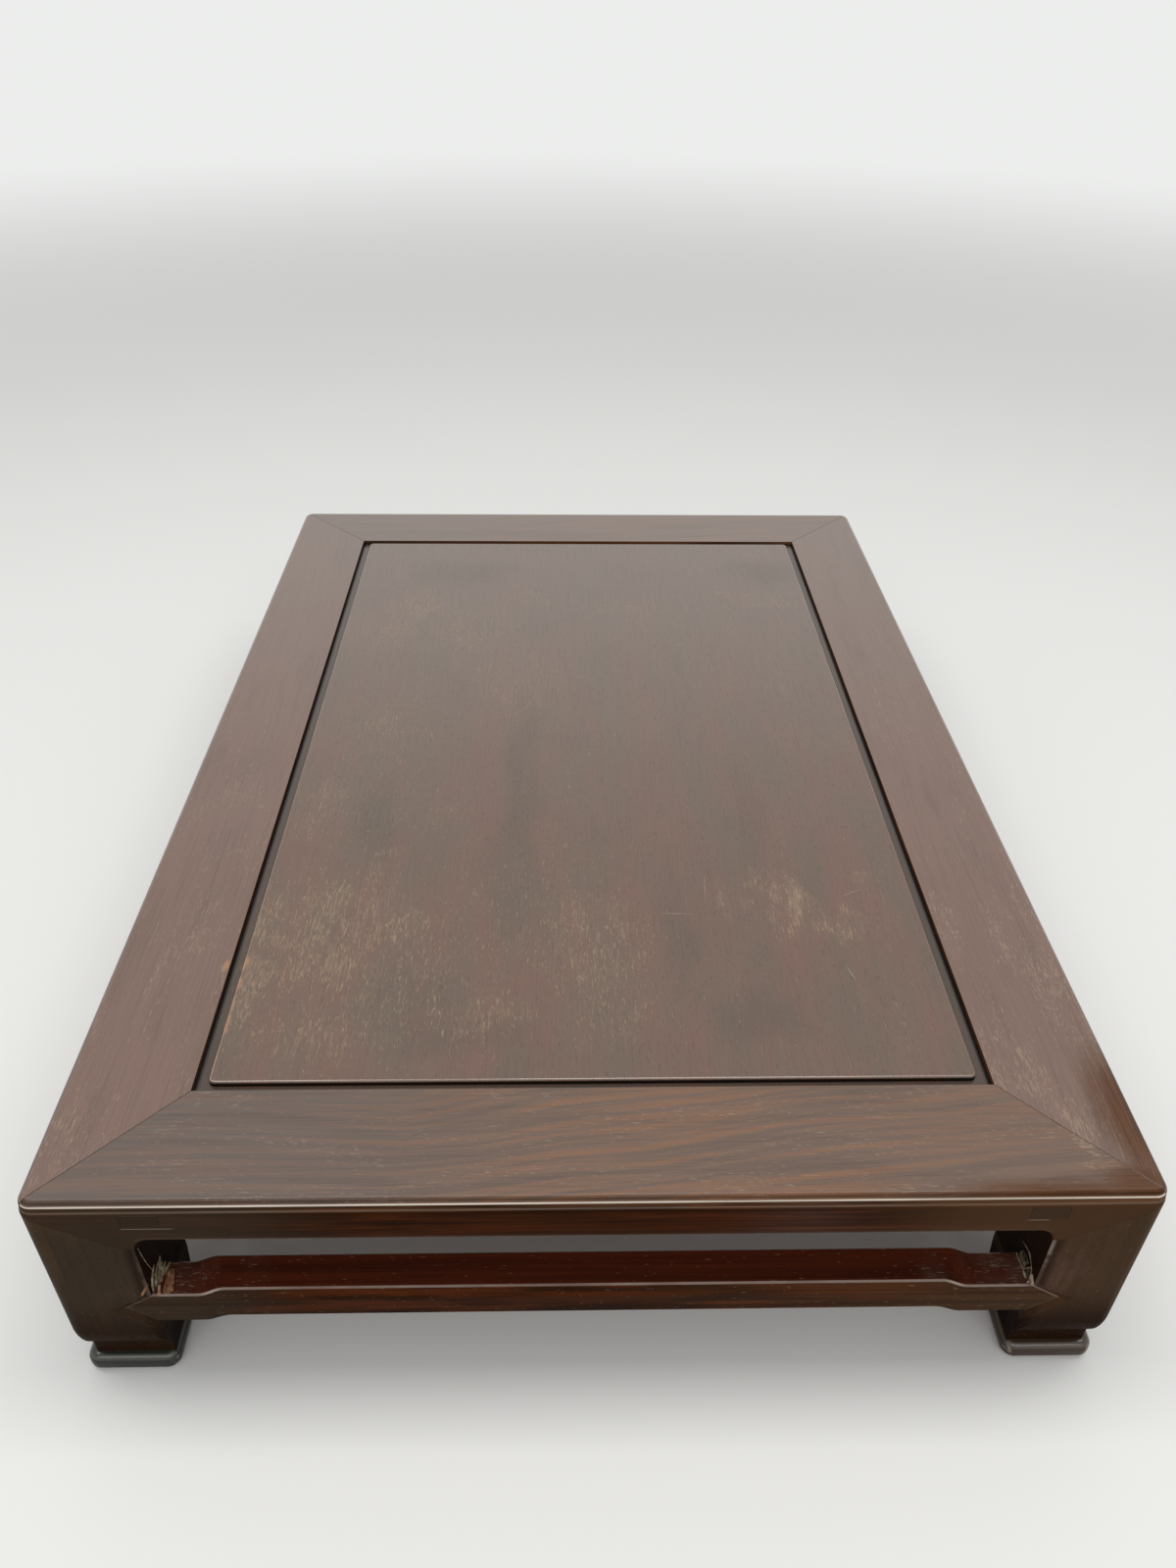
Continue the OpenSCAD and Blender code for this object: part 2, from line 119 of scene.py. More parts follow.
class WoodTones(bpy.types.PropertyGroup):
    """Colours of the wood."""

    panel_rose: tone("Panel, rosy", "Warm wood of the panel", (0.436, 0.330, 0.287))
    panel_smoke: tone("Panel, smoky", "Grey clouds of the panel", (0.403, 0.335, 0.288))
    rail_rose: tone("Long rails", "Main colour of the long rails", (0.462, 0.360, 0.316))
    rail_end: tone("Short rails", "Main colour of the short rails", (0.420, 0.330, 0.278))
    rail_shade: tone("Rails, dark", "Dark streaks of the rails", (0.350, 0.280, 0.235))
    rail_cool: tone("Short rails, cool", "Grey left end of the short rails", (0.335, 0.320, 0.312))
    flame: tone("Short rails, warm", "Orange streaks of the short rails", (0.520, 0.355, 0.235))
    # The upright faces are this much darker than the tops partly as painted shade; the tops are
    # also faded
    face: tone("Upright faces", "Dark faces of the frame and stretchers", (0.170, 0.075, 0.010))
    ember: tone("Upright faces, warm", "Orange streaks of the faces", (0.310, 0.145, 0.047))
    leg: tone("Legs", "Main colour of the legs", (0.216, 0.174, 0.130))
    leg_warm: tone("Legs, warm", "Warmer clouds of the legs", (0.296, 0.208, 0.134))
    leg_foot: tone("Legs, low", "The legs near the floor", (0.130, 0.066, 0.022))
    # Partly painted light: the tops are made lighter than the faces to make up for the shade of the
    # frame above them
    stretcher: tone("Stretchers", "Tops of the stretchers", (0.330, 0.140, 0.080))
    # Painted shade on the legs' inner faces and eased inner edges, and a dark tone for grain and
    # oiled wood elsewhere
    dark_wood_and_inner_shade: tone("Legs, inside", "The legs' inner faces", (0.085, 0.035, 0.025))
    pad: tone("Foot pads", "The polished pads under the feet", (0.160, 0.172, 0.152))
    pad_warm: tone("Foot pads, warm", "The pads on the right side", (0.235, 0.180, 0.140))
    raw: tone("Unpolished wood", "Undersides and battens", (0.42, 0.29, 0.21))
    end_grain: tone("End grain", "Ends of the tenons that show", (0.195, 0.150, 0.110))
    glint: tone("Brightest edge", "The line of light along the rails", (0.93, 0.88, 0.82))
    # Pale worn edges, and also the painted highlights along the field's edge, the arrises, the
    # tenons' lips, the pads' rims and the stretchers' edges
    edge_wear_and_highlight: tone("Bright edges", "Edges polished bright by hands", (0.78, 0.71, 0.65))
    # Painted reflection: the far end of the tops is painted paler, as the bright backdrop would
    # make it look
    painted_back_sheen: tone("Hazy top", "The far end of the top, where it is dull", (0.500, 0.455, 0.420))
    # Also used for a painted highlight band on the rails' outer faces
    film: tone("Dull polish", "Grey film near the joints", (0.340, 0.240, 0.205))
    fibre: tone("Torn fibres", "Dry fibres left at the joints", (0.475, 0.410, 0.325))
    thread: tone("Torn fibres, pale", "Paler tips of the fibres", (0.700, 0.645, 0.550))
    sliver: tone("Slivers", "Split-off slivers of bare wood", (0.430, 0.305, 0.225))
    oiled: tone("Oiled corner", "Dark warm wood at the front right corner", (0.360, 0.232, 0.142))
    rubbed: tone("Rubbed wood", "Places where the polish has gone", (0.545, 0.460, 0.365))
    dust: tone("Pale pores", "Pores and scuffs filled with dust", (0.61, 0.53, 0.44))
    stain: tone("Stains", "Dark stains of the panel", (0.315, 0.290, 0.250))
    chip: tone("Chips", "Bare wood where an edge is chipped", (0.650, 0.475, 0.345))
    # Painted shade: the near-black laid in the panel's grooves and on the field's side walls
    groove_shade: tone("Grooves", "The bottom of the grooves", (0.035, 0.030, 0.028))
    # Dark seams, pores and fibres, and also painted shade on the panel's ledge, on the rails' arris
    # and round the pads' bottom
    dirt_and_shade: tone("Dark seams", "Old wax and dirt in the corners", (0.09, 0.06, 0.045))


class WearAmounts(bpy.types.PropertyGroup):
    """How worn the table is."""

    flecks: share("Pale flecks", "Dusty pores on the panel and the frame", 0.65)
    # Also sets how strong the painted highlights along the edges are
    edges: share("Worn edges", "Wood rubbed pale along the edges", 0.85)
    # Also sets how strong the painted shade on the panel's ledge, in its grooves and round the
    # pads' bottom is
    dirt_and_shade: share("Dirt", "Dark lines in the corners and joints", 0.85)


class StudioSettings(bpy.types.PropertyGroup):
    """Floor, lamps and camera."""

    place: FloatVectorProperty(
        name="Camera", description="Where the camera stands", subtype="TRANSLATION", unit="LENGTH",
        size=3, default=(-0.0098, -0.4115, 0.3591)
    )
    yaw: FloatProperty(
        name="Turn", description="Camera's turn to the right", subtype="ANGLE",
        default=radians(1.606)
    )
    pitch: FloatProperty(
        name="Tilt", description="Camera's tilt down", subtype="ANGLE", default=radians(36.225)
    )
    roll: FloatProperty(
        name="Roll", description="Camera's lean about its axis", subtype="ANGLE",
        default=radians(0.838)
    )
    lens: FloatProperty(
        name="Lens", description="Focal length", unit="CAMERA", min=1, default=27.08
    )
    floor: tone("Floor", "Colour of the floor", (0.92, 0.92, 0.91))
    backdrop: tone("Backdrop", "Colour behind the table", (0.925, 0.93, 0.925))
    sky: FloatProperty(
        name="Room light", description="Even light from all round", min=0, default=0.48
    )
    key: FloatProperty(
        name="Overhead lamp", description="Power of the lamp above", unit="POWER", min=0, default=10
    )
    fill: FloatProperty(
        name="Front lamp", description="Power of the lamp in front", unit="POWER", min=0, default=5
    )


def linear(colour):
    """A screen colour as the renderer's own, with full alpha."""
    parts = (c / 12.92 if c <= 0.04045 else ((c + 0.055) / 1.055) ** 2.4 for c in colour)
    return (*parts, 1.0)


class Nodes:
    """The shader nodes of a material or of the world, added one at a time."""

    def __init__(self, owner):
        owner.use_nodes = True
        self.tree = owner.node_tree
        self.tree.nodes.clear()

    def node(self, kind, inputs=(), **settings):
        """Adds a node with its settings and feeds its sockets."""
        made = self.tree.nodes.new(kind)
        for key, value in settings.items():
            setattr(made, key, value)
        for socket, value in dict(inputs).items():
            self.feed(made.inputs[socket], value)
        return made

    def feed(self, socket, value):
        """Links a socket to another, or sets its number or its colour."""
        if isinstance(value, bpy.types.NodeSocket):
            self.tree.links.new(value, socket)
        else:
            socket.default_value = linear(value) if isinstance(value, Color) else value

    def math(self, operation, *values):
        """One sum."""
        return self.node("ShaderNodeMath", dict(enumerate(values)), operation=operation).outputs[0]

    def product(self, first, *others):
        """All the values multiplied together."""
        for value in others:
            first = self.math("MULTIPLY", first, value)
        return first

    def highest(self, first, *others):
        """The highest of the values."""
        for value in others:
            first = self.math("MAXIMUM", first, value)
        return first


class Finish(Nodes):
    """The finish of one kind of piece, whose colour is laid on tone by tone.

    All its lengths are in millimetres.
    """

    # Sockets of the colour mix node
    FACTOR, COLOUR_A, COLOUR_B, COLOUR_OUT = 0, 6, 7, 2

    def __init__(self, name):
        self.material = bpy.data.materials.new(name)
        super().__init__(self.material)
        self.tones, self.wear = bpy.context.scene.table_tones, bpy.context.scene.table_wear
        self.colour = None
        place = self.node("ShaderNodeTexCoord").outputs["Object"]
        inputs = {"Vector": place, "Scale": MM}
        self.place = self.node("ShaderNodeVectorMath", inputs, operation="SCALE").outputs["Vector"]
        self.x, self.y, self.z = self.split(self.place)
        normal = self.node("ShaderNodeNewGeometry").outputs["Normal"]
        self.normal_x, self.normal_y, self.up = self.split(normal)
        # How far in from the long sides and the short sides, and how far below the top
        self.in_x = self.math("SUBTRACT", HALF_W, self.math("ABSOLUTE", self.x))
        self.in_y = self.math("SUBTRACT", HALF_L, self.math("ABSOLUTE", self.y))
        self.down = self.math("SUBTRACT", TOP, self.z)

    def split(self, vector):
        """The three parts of a vector."""
        return self.node("ShaderNodeSeparateXYZ", {"Vector": vector}).outputs[:]

    def rise(self, value, low, high, start=0.0, end=1.0):
        """A smooth change from start, where the value is at low, to end, where it is at high."""
        inputs = {"Value": value, "From Min": low, "From Max": high, "To Min": start, "To Max": end}
        made = self.node("ShaderNodeMapRange", inputs, interpolation_type="SMOOTHSTEP")
        return made.outputs["Result"]

    def by_side(self, left, right):
        """One number on the left half of the table and another on the right half."""
        return self.rise(self.x, -1.0, 1.0, left, right)

    def rightward(self, start=0.0, end=1.0):
        """A gradual change over the middle of the table, from left to right."""
        return self.rise(self.x, -40.0, 40.0, start, end)

    def ridge(self, value, centre, half):
        """1 at the centre, falling smoothly to 0 at half a width either way."""
        return self.rise(self.math("ABSOLUTE", self.math("SUBTRACT", value, centre)), half, 0.0)

    def scaled(self, place, scale, shift=(0, 0, 0)):
        """A place multiplied and then moved along each axis."""
        inputs = {0: place, 1: scale, 2: shift}
        return self.node("ShaderNodeVectorMath", inputs, operation="MULTIPLY_ADD").outputs[0]

    def cloud(self, lengths, seed, detail=3.0, roughness=0.6, bend=0.0, place=None):
        """Soft noise about 0.5, as long along each axis as lengths says."""
        shift = (seed, 1.7 * seed, 2.3 * seed)
        inputs = {
            "Vector": self.scaled(place or self.place, [1 / length for length in lengths], shift),
            "Scale": 1.0, "Detail": detail, "Roughness": roughness, "Distortion": bend,
        }
        return self.node("ShaderNodeTexNoise", inputs).outputs["Fac"]

    def warped(self, lengths, reach, seed):
        """Places moved about by soft noise, so that what is laid out on them has ragged edges."""
        vector = self.scaled(self.place, [1 / length for length in lengths], (seed, seed, seed))
        noise = self.node("ShaderNodeTexNoise", {"Vector": vector, "Scale": 1.0, "Detail": 3.0})
        moved = self.scaled(noise.outputs["Color"], (2 * reach,) * 3, (-reach,) * 3)
        inputs = {0: self.place, 1: moved}
        return self.node("ShaderNodeVectorMath", inputs, operation="ADD").outputs[0]

    def spot(self, place, x, y, wide, length):
        """1 in the middle of an oval seen from above, falling smoothly to 0 at its rim."""
        centred = self.scaled(place, (1 / wide, 1 / length, 0), (-x / wide, -y / length, 0))
        reach = self.node("ShaderNodeVectorMath", {0: centred}, operation="LENGTH").outputs["Value"]
        return self.rise(reach, 1.0, 0.25)

    def spots(self, place, table, least=0.0):
        """The strongest of a table's spots at each place, and nowhere under the least."""
        for *oval, strength in table:
            least = self.highest(least, self.product(self.spot(place, *oval), strength))
        return least

    def scratch(self, x0, y0, x1, y1, half):
        """1 along a straight line seen from above, falling to 0 at half a width either way."""
        way, start = Vector((x1 - x0, y1 - y0)), Vector((x0, y0))
        size = way.length
        way = way / size
        across = Vector((-way.y, way.x))
        forth, aside = [
            self.math(
                "MULTIPLY_ADD", self.x, line.x,
                self.math("MULTIPLY_ADD", self.y, line.y, -start.dot(line))
            )
            for line in (way, across)
        ]
        return self.product(self.ridge(aside, 0.0, half), self.ridge(forth, size / 2, size * 0.6))

    def mix(self, factor, base, other):
        """One colour laid over another."""
        made = self.node("ShaderNodeMix", data_type="RGBA")
        self.feed(made.inputs[self.FACTOR], factor)
        self.feed(made.inputs[self.COLOUR_A], base)
        self.feed(made.inputs[self.COLOUR_B], other)
        return made.outputs[self.COLOUR_OUT]

    def blend(self, factor, base, other):
        """One tone laid over another."""
        return self.mix(factor, getattr(self.tones, base), getattr(self.tones, other))

    def lay(self, tone, *amounts):
        """Lays a tone over the colour so far, as strongly as the amounts multiplied together."""
        self.colour = self.mix(self.product(*amounts), self.colour, getattr(self.tones, tone))

    def relief(self, height, depth):
        """A bump of the given depth in millimetres."""
        inputs = {"Height": height, "Distance": depth / MM, "Strength": 1.0}
        return self.node("ShaderNodeBump", inputs).outputs["Normal"]

    def close(self, roughness, gloss, normal):
        """Ends the finish with its shader: matt wood under a polish as strong as gloss says."""
        inputs = {
            "Base Color": self.colour, "Roughness": roughness, "Normal": normal,
            "Specular IOR Level": MATT_SHINE, "Coat Weight": gloss,
            "Coat Roughness": POLISH_ROUGHNESS, "Coat IOR": POLISH_IOR,
        }
        shader = self.node("ShaderNodeBsdfPrincipled", inputs)
        self.node("ShaderNodeOutputMaterial", {"Surface": shader.outputs[0]})
        return self.material


class Wood(Finish):
    """The finish of a piece of wood whose grain runs along the named axis."""

    def __init__(self, name, axis, seed):
        super().__init__(name)
        self.axis, self.seed = axis, seed
        self.streaks = self.strands(*STREAK_SIZE, 0, bend=0.2)
        self.fibres = self.strands(*FIBRE_SIZE, 3, roughness=0.65)
        pores = self.strands(*PORE_SIZE, 7, detail=1, roughness=0.5)
        self.pores = self.rise(pores, 0.64, 0.70)
        # How far in from the piece's nearer end, or from a leg's outer faces
        if axis == "Z":
            self.inward = self.highest(self.in_x, self.in_y)
        else:
            self.inward = self.in_x if axis == "X" else self.in_y

    def along(self, length, across):
        """Lengths in x, y and z of marks that run along the grain."""
        return tuple(length if name == self.axis else across for name in "XYZ")

    def strands(self, length, across, seed, **settings):
        """Soft noise with the given lengths along the grain and across it."""
        return self.cloud(self.along(length, across), self.seed + seed, **settings)

    def dashes(self, seed, worn, length=4.6, across=0.42, lean=0.0):
        """Short pale marks along the grain, the closer together the more the wood is worn."""
        place = self.place
        if lean:
            turned = {"Vector": place, "Angle": lean}
            place = self.node("ShaderNodeVectorRotate", turned, rotation_type="Z_AXIS").outputs[0]
        specks = self.strands(length, across, seed, detail=1.5, roughness=0.55, place=place)
        return self.rise(self.math("MULTIPLY_ADD", worn, DASH_LIFT, specks), *DASH_RANGE)

    def shade_fibres(self, tone, most):
        """Darkens the fibres of the wood."""
        self.lay(tone, self.rise(self.fibres, *FIBRE_RANGE, 0.0, most))

    def chip(self, chips, seed):
        """Bares the wood in each chip."""
        ragged = self.warped((3, 3, 3), 1.2, seed)
        for oval in chips:
            self.lay("chip", self.spot(ragged, *oval), 0.75)

    def point_edges(self):
        """How far inside a stretcher's point a place lies, from its upper and its lower edge."""
        run = self.math("SUBTRACT", self.inward, POINT_IN)
        above = self.math("SUBTRACT", self.z, POINT_Z)
        upper = self.math("SUBTRACT", self.product(run, POINT_RISE), above)
        lower = self.math("ADD", self.product(run, POINT_FALL), above)
        return upper, lower

    def near_legs(self, far, near, most):
        """Takes on the legs' colour, which is warmer on the right, towards the piece's ends."""
        leg = self.blend(self.rightward(), "leg", "leg_warm")
        self.colour = self.mix(self.rise(self.inward, far, near, 0.0, most), self.colour, leg)

    def dry(self, pale):
        """Roughness of the frame and the panel, duller in their fibres and pale marks."""
        return self.rise(self.highest(self.fibres, pale), 0.3, 0.9, 0.42, 0.62)

    def polish(self, roughness, gloss):
        """Ends the finish with fine grain and open pores."""
        height = self.math("SUBTRACT", self.product(self.fibres, 0.6), self.pores)
        return self.close(roughness, gloss, self.relief(height, 0.025))


# Worn places of the panel: middle in x and y, half widths in x and y, and how worn
PANEL_WEAR = (
    (-92, -122, 52, 52, 0.85), (-112, -134, 20, 46, 0.9), (-68, -118, 26, 20, 0.85),
    (-101, -52, 20, 34, 0.7), (-74, -90, 8, 28, 0.75), (-56, -56, 9, 14, 0.55),
    (-32, -157, 18, 15, 0.7), (0, -126, 34, 44, 0.72), (4, -158, 28, 22, 0.6),
    (-79, 112, 22, 28, 0.8), (-92, 84, 20, 28, 0.7), (-52, 84, 34, 46, 0.6),
    (-85, 4, 22, 28, 0.65), (-28, 40, 40, 60, 0.55), (-26, 121, 18, 20, 0.5),
    (23, 111, 20, 13, 0.65), (93, 119, 26, 18, 0.6), (72, 126, 7, 8, 0.75),
    (85, 36, 12, 18, 0.45), (70, -108, 12, 26, 1.15), (83, -119, 12, 12, 0.95),
    (48, -108, 7, 16, 0.7), (97, -93, 8, 10, 0.5), (60, -96, 5, 14, 0.65),
    (-66, -142, 62, 56, 0.56), (-80, -164, 34, 16, 0.72), (-108, -104, 5, 10, 0.8),
    (-111, -152, 4, 26, 1.0), (-84, -165, 40, 26, 0.6), (-20, -110, 60, 64, 0.42),
    (-80, -20, 40, 120, 0.4),
)
# Dark stains of the panel, laid out in the same way
PANEL_STAINS = (
    (-78, -62, 12, 40, 0.35), (-28, -90, 14, 50, 0.3), (-58, -152, 20, 26, 0.3),
    (52, -160, 22, 14, 0.4), (-40, -165, 26, 12, 0.3), (28, -120, 8, 44, 0.25),
    (96, 150, 26, 24, 0.25), (-60, 150, 34, 20, 0.2), (-24, -30, 10, 70, 0.25),
    (60, -60, 10, 54, 0.2),
)
# Chips in the panel's left edge, where the wood is bare: middle and half widths in x and y
PANEL_CHIPS = (
    (-112.6, -135.0, 1.9, 4.6), (-112.6, -145.0, 1.5, 4.0), (-112.5, -152.5, 1.0, 5.0),
    (-112.6, -161.0, 1.5, 6.5), (-112.7, -176.0, 0.8, 7.0),
)
# Scratches of the panel: from x and y, to x and y, and half the width
PANEL_SCRATCHES = (
    (22, -112.4, 36, -112.9, 0.22), (83, -138, 84.8, -144.8, 0.3), (-50.3, -149, -49.2, -154, 0.22),
    (-49.2, -154, -50.6, -159, 0.22), (41, -92, 40.2, -106, 0.2), (43, 72, 48, 74.5, 0.3),
    (88, -104, 96, -100, 0.2), (-64, 0, -63, -6, 0.25),
)


def panel_ground(f):
    """The panel's wood: rosy with smoky clouds, stained, and painted paler towards the far end as a
    painted reflection of the backdrop.
    """
    clouds = f.cloud((16, 55, 16), seed=5, detail=4, bend=0.4)
    boards = f.strands(900, 26, 7, detail=1, roughness=0.5)
    smoky = f.math("ADD", f.product(clouds, 0.7), f.product(boards, 0.3))
    f.colour = f.blend(f.rise(smoky, 0.38, 0.62), "panel_rose", "panel_smoke")
    f.lay("panel_smoke", f.rise(f.streaks, 0.50, 0.75, 0.0, 0.5))
    # Painted reflection: the panel turns paler towards the far end
    f.lay("painted_back_sheen", f.rise(f.y, -140.0, 200.0, 0.0, 0.72))
    ragged = f.warped((22, 40, 22), 12.0, seed=31)
    for *oval, strength in PANEL_STAINS:
        f.lay("stain", f.spot(ragged, *oval), strength)
    f.shade_fibres("dirt_and_shade", 0.14)


def panel_wear(f):
    """How worn the panel is at each place, in clumps."""
    worn = f.product(f.rise(f.cloud((16, 40, 16), seed=11, roughness=0.5), 0.5, 0.7), 0.3)
    worn = f.spots(f.warped((8, 16, 8), 12.0, seed=23), PANEL_WEAR, worn)
    return f.product(worn, f.rise(f.cloud((5, 13, 5), seed=29), 0.34, 0.58, 0.62, 1.0))


def panel_marks(f, worn):
    """Pale marks of the panel: dashes and hairs where it is worn, and specks all over."""
    long_dashes = f.dashes(11, worn, lean=0.05)
    short_dashes = f.dashes(35, worn, length=2.8, across=0.36, lean=-0.14)
    hairs = f.product(f.dashes(81, f.product(worn, 1.1), length=16.0, across=0.36), 0.6)
    specks = f.dashes(59, 0.15, length=1.1, across=0.6)
    return f.highest(long_dashes, short_dashes, hairs, specks)


def panel_rim(f):
    """The panel's ledge, its groove and the field's side walls, darkened with painted shade, and
    the edge of its field with a painted highlight.
    """
    # Painted shade on the panel's ledge, which lies below the frame's lip
    f.lay("dirt_and_shade", f.rise(f.down, 0.9, 1.5), f.wear.dirt_and_shade, 0.65)
    # Painted shade in the groove along the frame's inner edge, and on the field's side walls below
    # the top
    groove = f.rise(f.math("MINIMUM", f.in_x, f.in_y), FRAME_W + 1.7, FRAME_W + 0.9)
    f.lay("groove_shade", groove, f.wear.dirt_and_shade)
    f.lay("groove_shade", f.rise(f.up, 0.5, 0.2), f.rise(f.down, 0.3, 0.8), f.wear.dirt_and_shade)
    # Painted highlight along the field's edge, in patches
    edge = f.product(f.ridge(f.up, 0.90, 0.085), f.rise(f.down, 1.0, 0.6))
    edge_highlight_patches = f.rise(f.cloud((60, 60, 60), seed=43, roughness=0.5), 0.36, 0.60, 0.25, 0.9)
    f.lay("edge_wear_and_highlight", edge, edge_highlight_patches, f.wear.edges)


def finish_panel():
    """The panel: clouded wood with dusty pores in clusters, rubbed places, chips and scratches."""
    f = Wood("panel_finish", "Y", 2.0)
    worn = panel_wear(f)
    pale = panel_marks(f, worn)
    panel_ground(f)
    f.lay("rubbed", worn, 0.11)
    f.chip(PANEL_CHIPS, 53)
    f.lay("dust", pale, f.wear.flecks)
    for line in PANEL_SCRATCHES:
        f.lay("dust", f.scratch(*line), 0.9)
    panel_rim(f)
    f.lay("dirt_and_shade", f.pores, 0.22)
    f.lay("raw", f.rise(f.up, *UNDERSIDE))
    gloss = f.product(f.rise(f.up, 0.2, 0.8), f.rise(pale, 0.0, 1.0, 0.85, 0.5))
    return f.polish(f.dry(pale), gloss)


# A rail of the frame: the axis it runs along, the seed of its grain, the tone of its top, how worn
# it is, how strong its figure is, and its chips, laid out as those of the panel
Rail = namedtuple("Rail", "axis seed top worn flame chips", defaults=(0.0, ()))
RAILS = {
    "long_rail_left": Rail("Y", 31.0, "rail_rose", 0.8, chips=((-118.3, -136.4, 1.4, 3.6),)),
    "long_rail_right": Rail("Y", 47.0, "rail_rose", 0.9),
    "short_rail_front": Rail("X", 53.0, "rail_end", 0.5, flame=0.6),
    "short_rail_back": Rail("X", 67.0, "rail_rose", 0.3, flame=0.25),
}
# Worn and oiled places near the frame's front right corner, laid out as those of the panel
CORNER_WEAR = (
    (129, -183, 9, 24, 1.0), (135, -203, 8, 14, 1.1), (138, -213, 12, 8, 0.8),
    (151, -120, 5, 60, 0.7),
)
CORNER_OIL = ((155, -199, 17, 38, 0.9), (152, -224, 26, 16, 0.9), (126, -227, 50, 11, 0.9))


def rail_figure(f, flame):
    """A short rail's figure: cool on the left, with warm and dark lines that climb to the right."""
    climb = f.product(f.highest(f.math("ADD", f.x, -FIGURE_START), 0.0), -FIGURE_CLIMB)
    sway = f.cloud((90, 40, 40), f.seed + 4, detail=1, roughness=0.5)
    sway = f.product(f.math("SUBTRACT", sway, 0.5), 14.0)
    lifted = f.math("ADD", f.y, f.math("ADD", climb, sway))
    place = f.node("ShaderNodeCombineXYZ", {"X": f.x, "Y": lifted, "Z": f.z}).outputs[0]
    figure = f.cloud((85, 2.5, 9), f.seed + 9, place=place)
    f.lay("rail_cool", f.rise(f.x, -10.0, -100.0, 0.0, 0.85 * flame))
    warm = f.rise(f.x, -90.0, 20.0, 0.4 * flame, flame)
    warm = f.product(warm, f.rise(f.x, 125.0, 55.0, 0.5, 1.0))
    f.lay("flame", f.rise(figure, 0.44, 0.62), warm)
    f.lay("rail_shade", f.rise(figure, 0.48, 0.34), 0.5)


def rail_ground(f, rail):
    """The wood of a rail's top, with more contrast on the short rails."""
    shade = 0.7 if rail.axis == "X" else 0.4
    clouds = f.strands(70, 16, 5, detail=4, bend=0.4)
    f.colour = f.blend(f.rise(clouds, 0.46, 0.76, 0.0, shade), rail.top, "rail_shade")
    if rail.flame:
        rail_figure(f, rail.flame)
    f.lay("rail_shade", f.rise(f.streaks, 0.5, 0.72, 0.0, 0.4 * shade))
    f.shade_fibres("dirt_and_shade", 0.24)


def rail_marks(f, worn):
    """Pale marks of a rail's top, most of them near the front."""
    patches = f.rise(f.strands(30, 9, 13, roughness=0.5), 0.38, 0.64, 0.15, 1.0)
    worn = f.product(f.rise(f.y, 160.0, -190.0, 0.3, 1.0), patches, worn)
    worn = f.spots(f.warped((8, 16, 8), 8.0, seed=59), CORNER_WEAR, worn)
    return f.highest(f.dashes(17, worn), f.dashes(19, worn, length=2.4, across=0.36, lean=0.12))


def rail_top(f, rail, pale, oil):
    """A rail's top: its wood, its pale marks, its oiled corner, its chips and its mitre."""
    rail_ground(f, rail)
    f.lay("dust", pale, f.wear.flecks, 0.7)
    # Painted reflection: the rail's top turns paler towards the far end
    f.lay("painted_back_sheen", f.rise(f.y, -120.0, 200.0, 0.0, 0.45))
    f.lay("oiled", oil)
    f.lay("dark_wood_and_inner_shade", oil, f.rise(f.fibres, 0.42, 0.66), 0.45)
    if rail.chips:
        f.chip(rail.chips, 57)
    seam = f.ridge(f.math("SUBTRACT", f.in_x, f.in_y), 0.0, 0.35)
    f.lay("dirt_and_shade", seam, f.wear.dirt_and_shade, 0.5)
    f.lay("edge_wear_and_highlight", seam, oil, f.rise(f.in_x, 24.0, 14.0), 0.6)


def rail_face(f, lines):
    """A rail's outer face, darker partly as painted shade, which takes on the legs' colour near
    them.
    """
    f.colour = f.blend(f.rise(f.strands(90, 8, 21), 0.42, 0.66, 0.0, 0.6), "face", "ember")
    f.lay("ember", f.rise(lines, 0.50, 0.66, 0.0, 0.7))
    f.lay("dark_wood_and_inner_shade", f.rise(lines, 0.48, 0.34, 0.0, 0.6))
    # Painted highlight: a pale band on the face right of the middle
    f.lay("film", f.ridge(f.x, 57.0, 26.0), 0.35)
    f.lay("face", f.ridge(f.x, -8.0, 55.0), 0.5)
    f.lay("dark_wood_and_inner_shade", f.rise(f.streaks, 0.45, 0.65, 0.0, 0.6))
    f.shade_fibres("dark_wood_and_inner_shade", 0.35)
    f.near_legs(95.0, 42.0, 0.75)


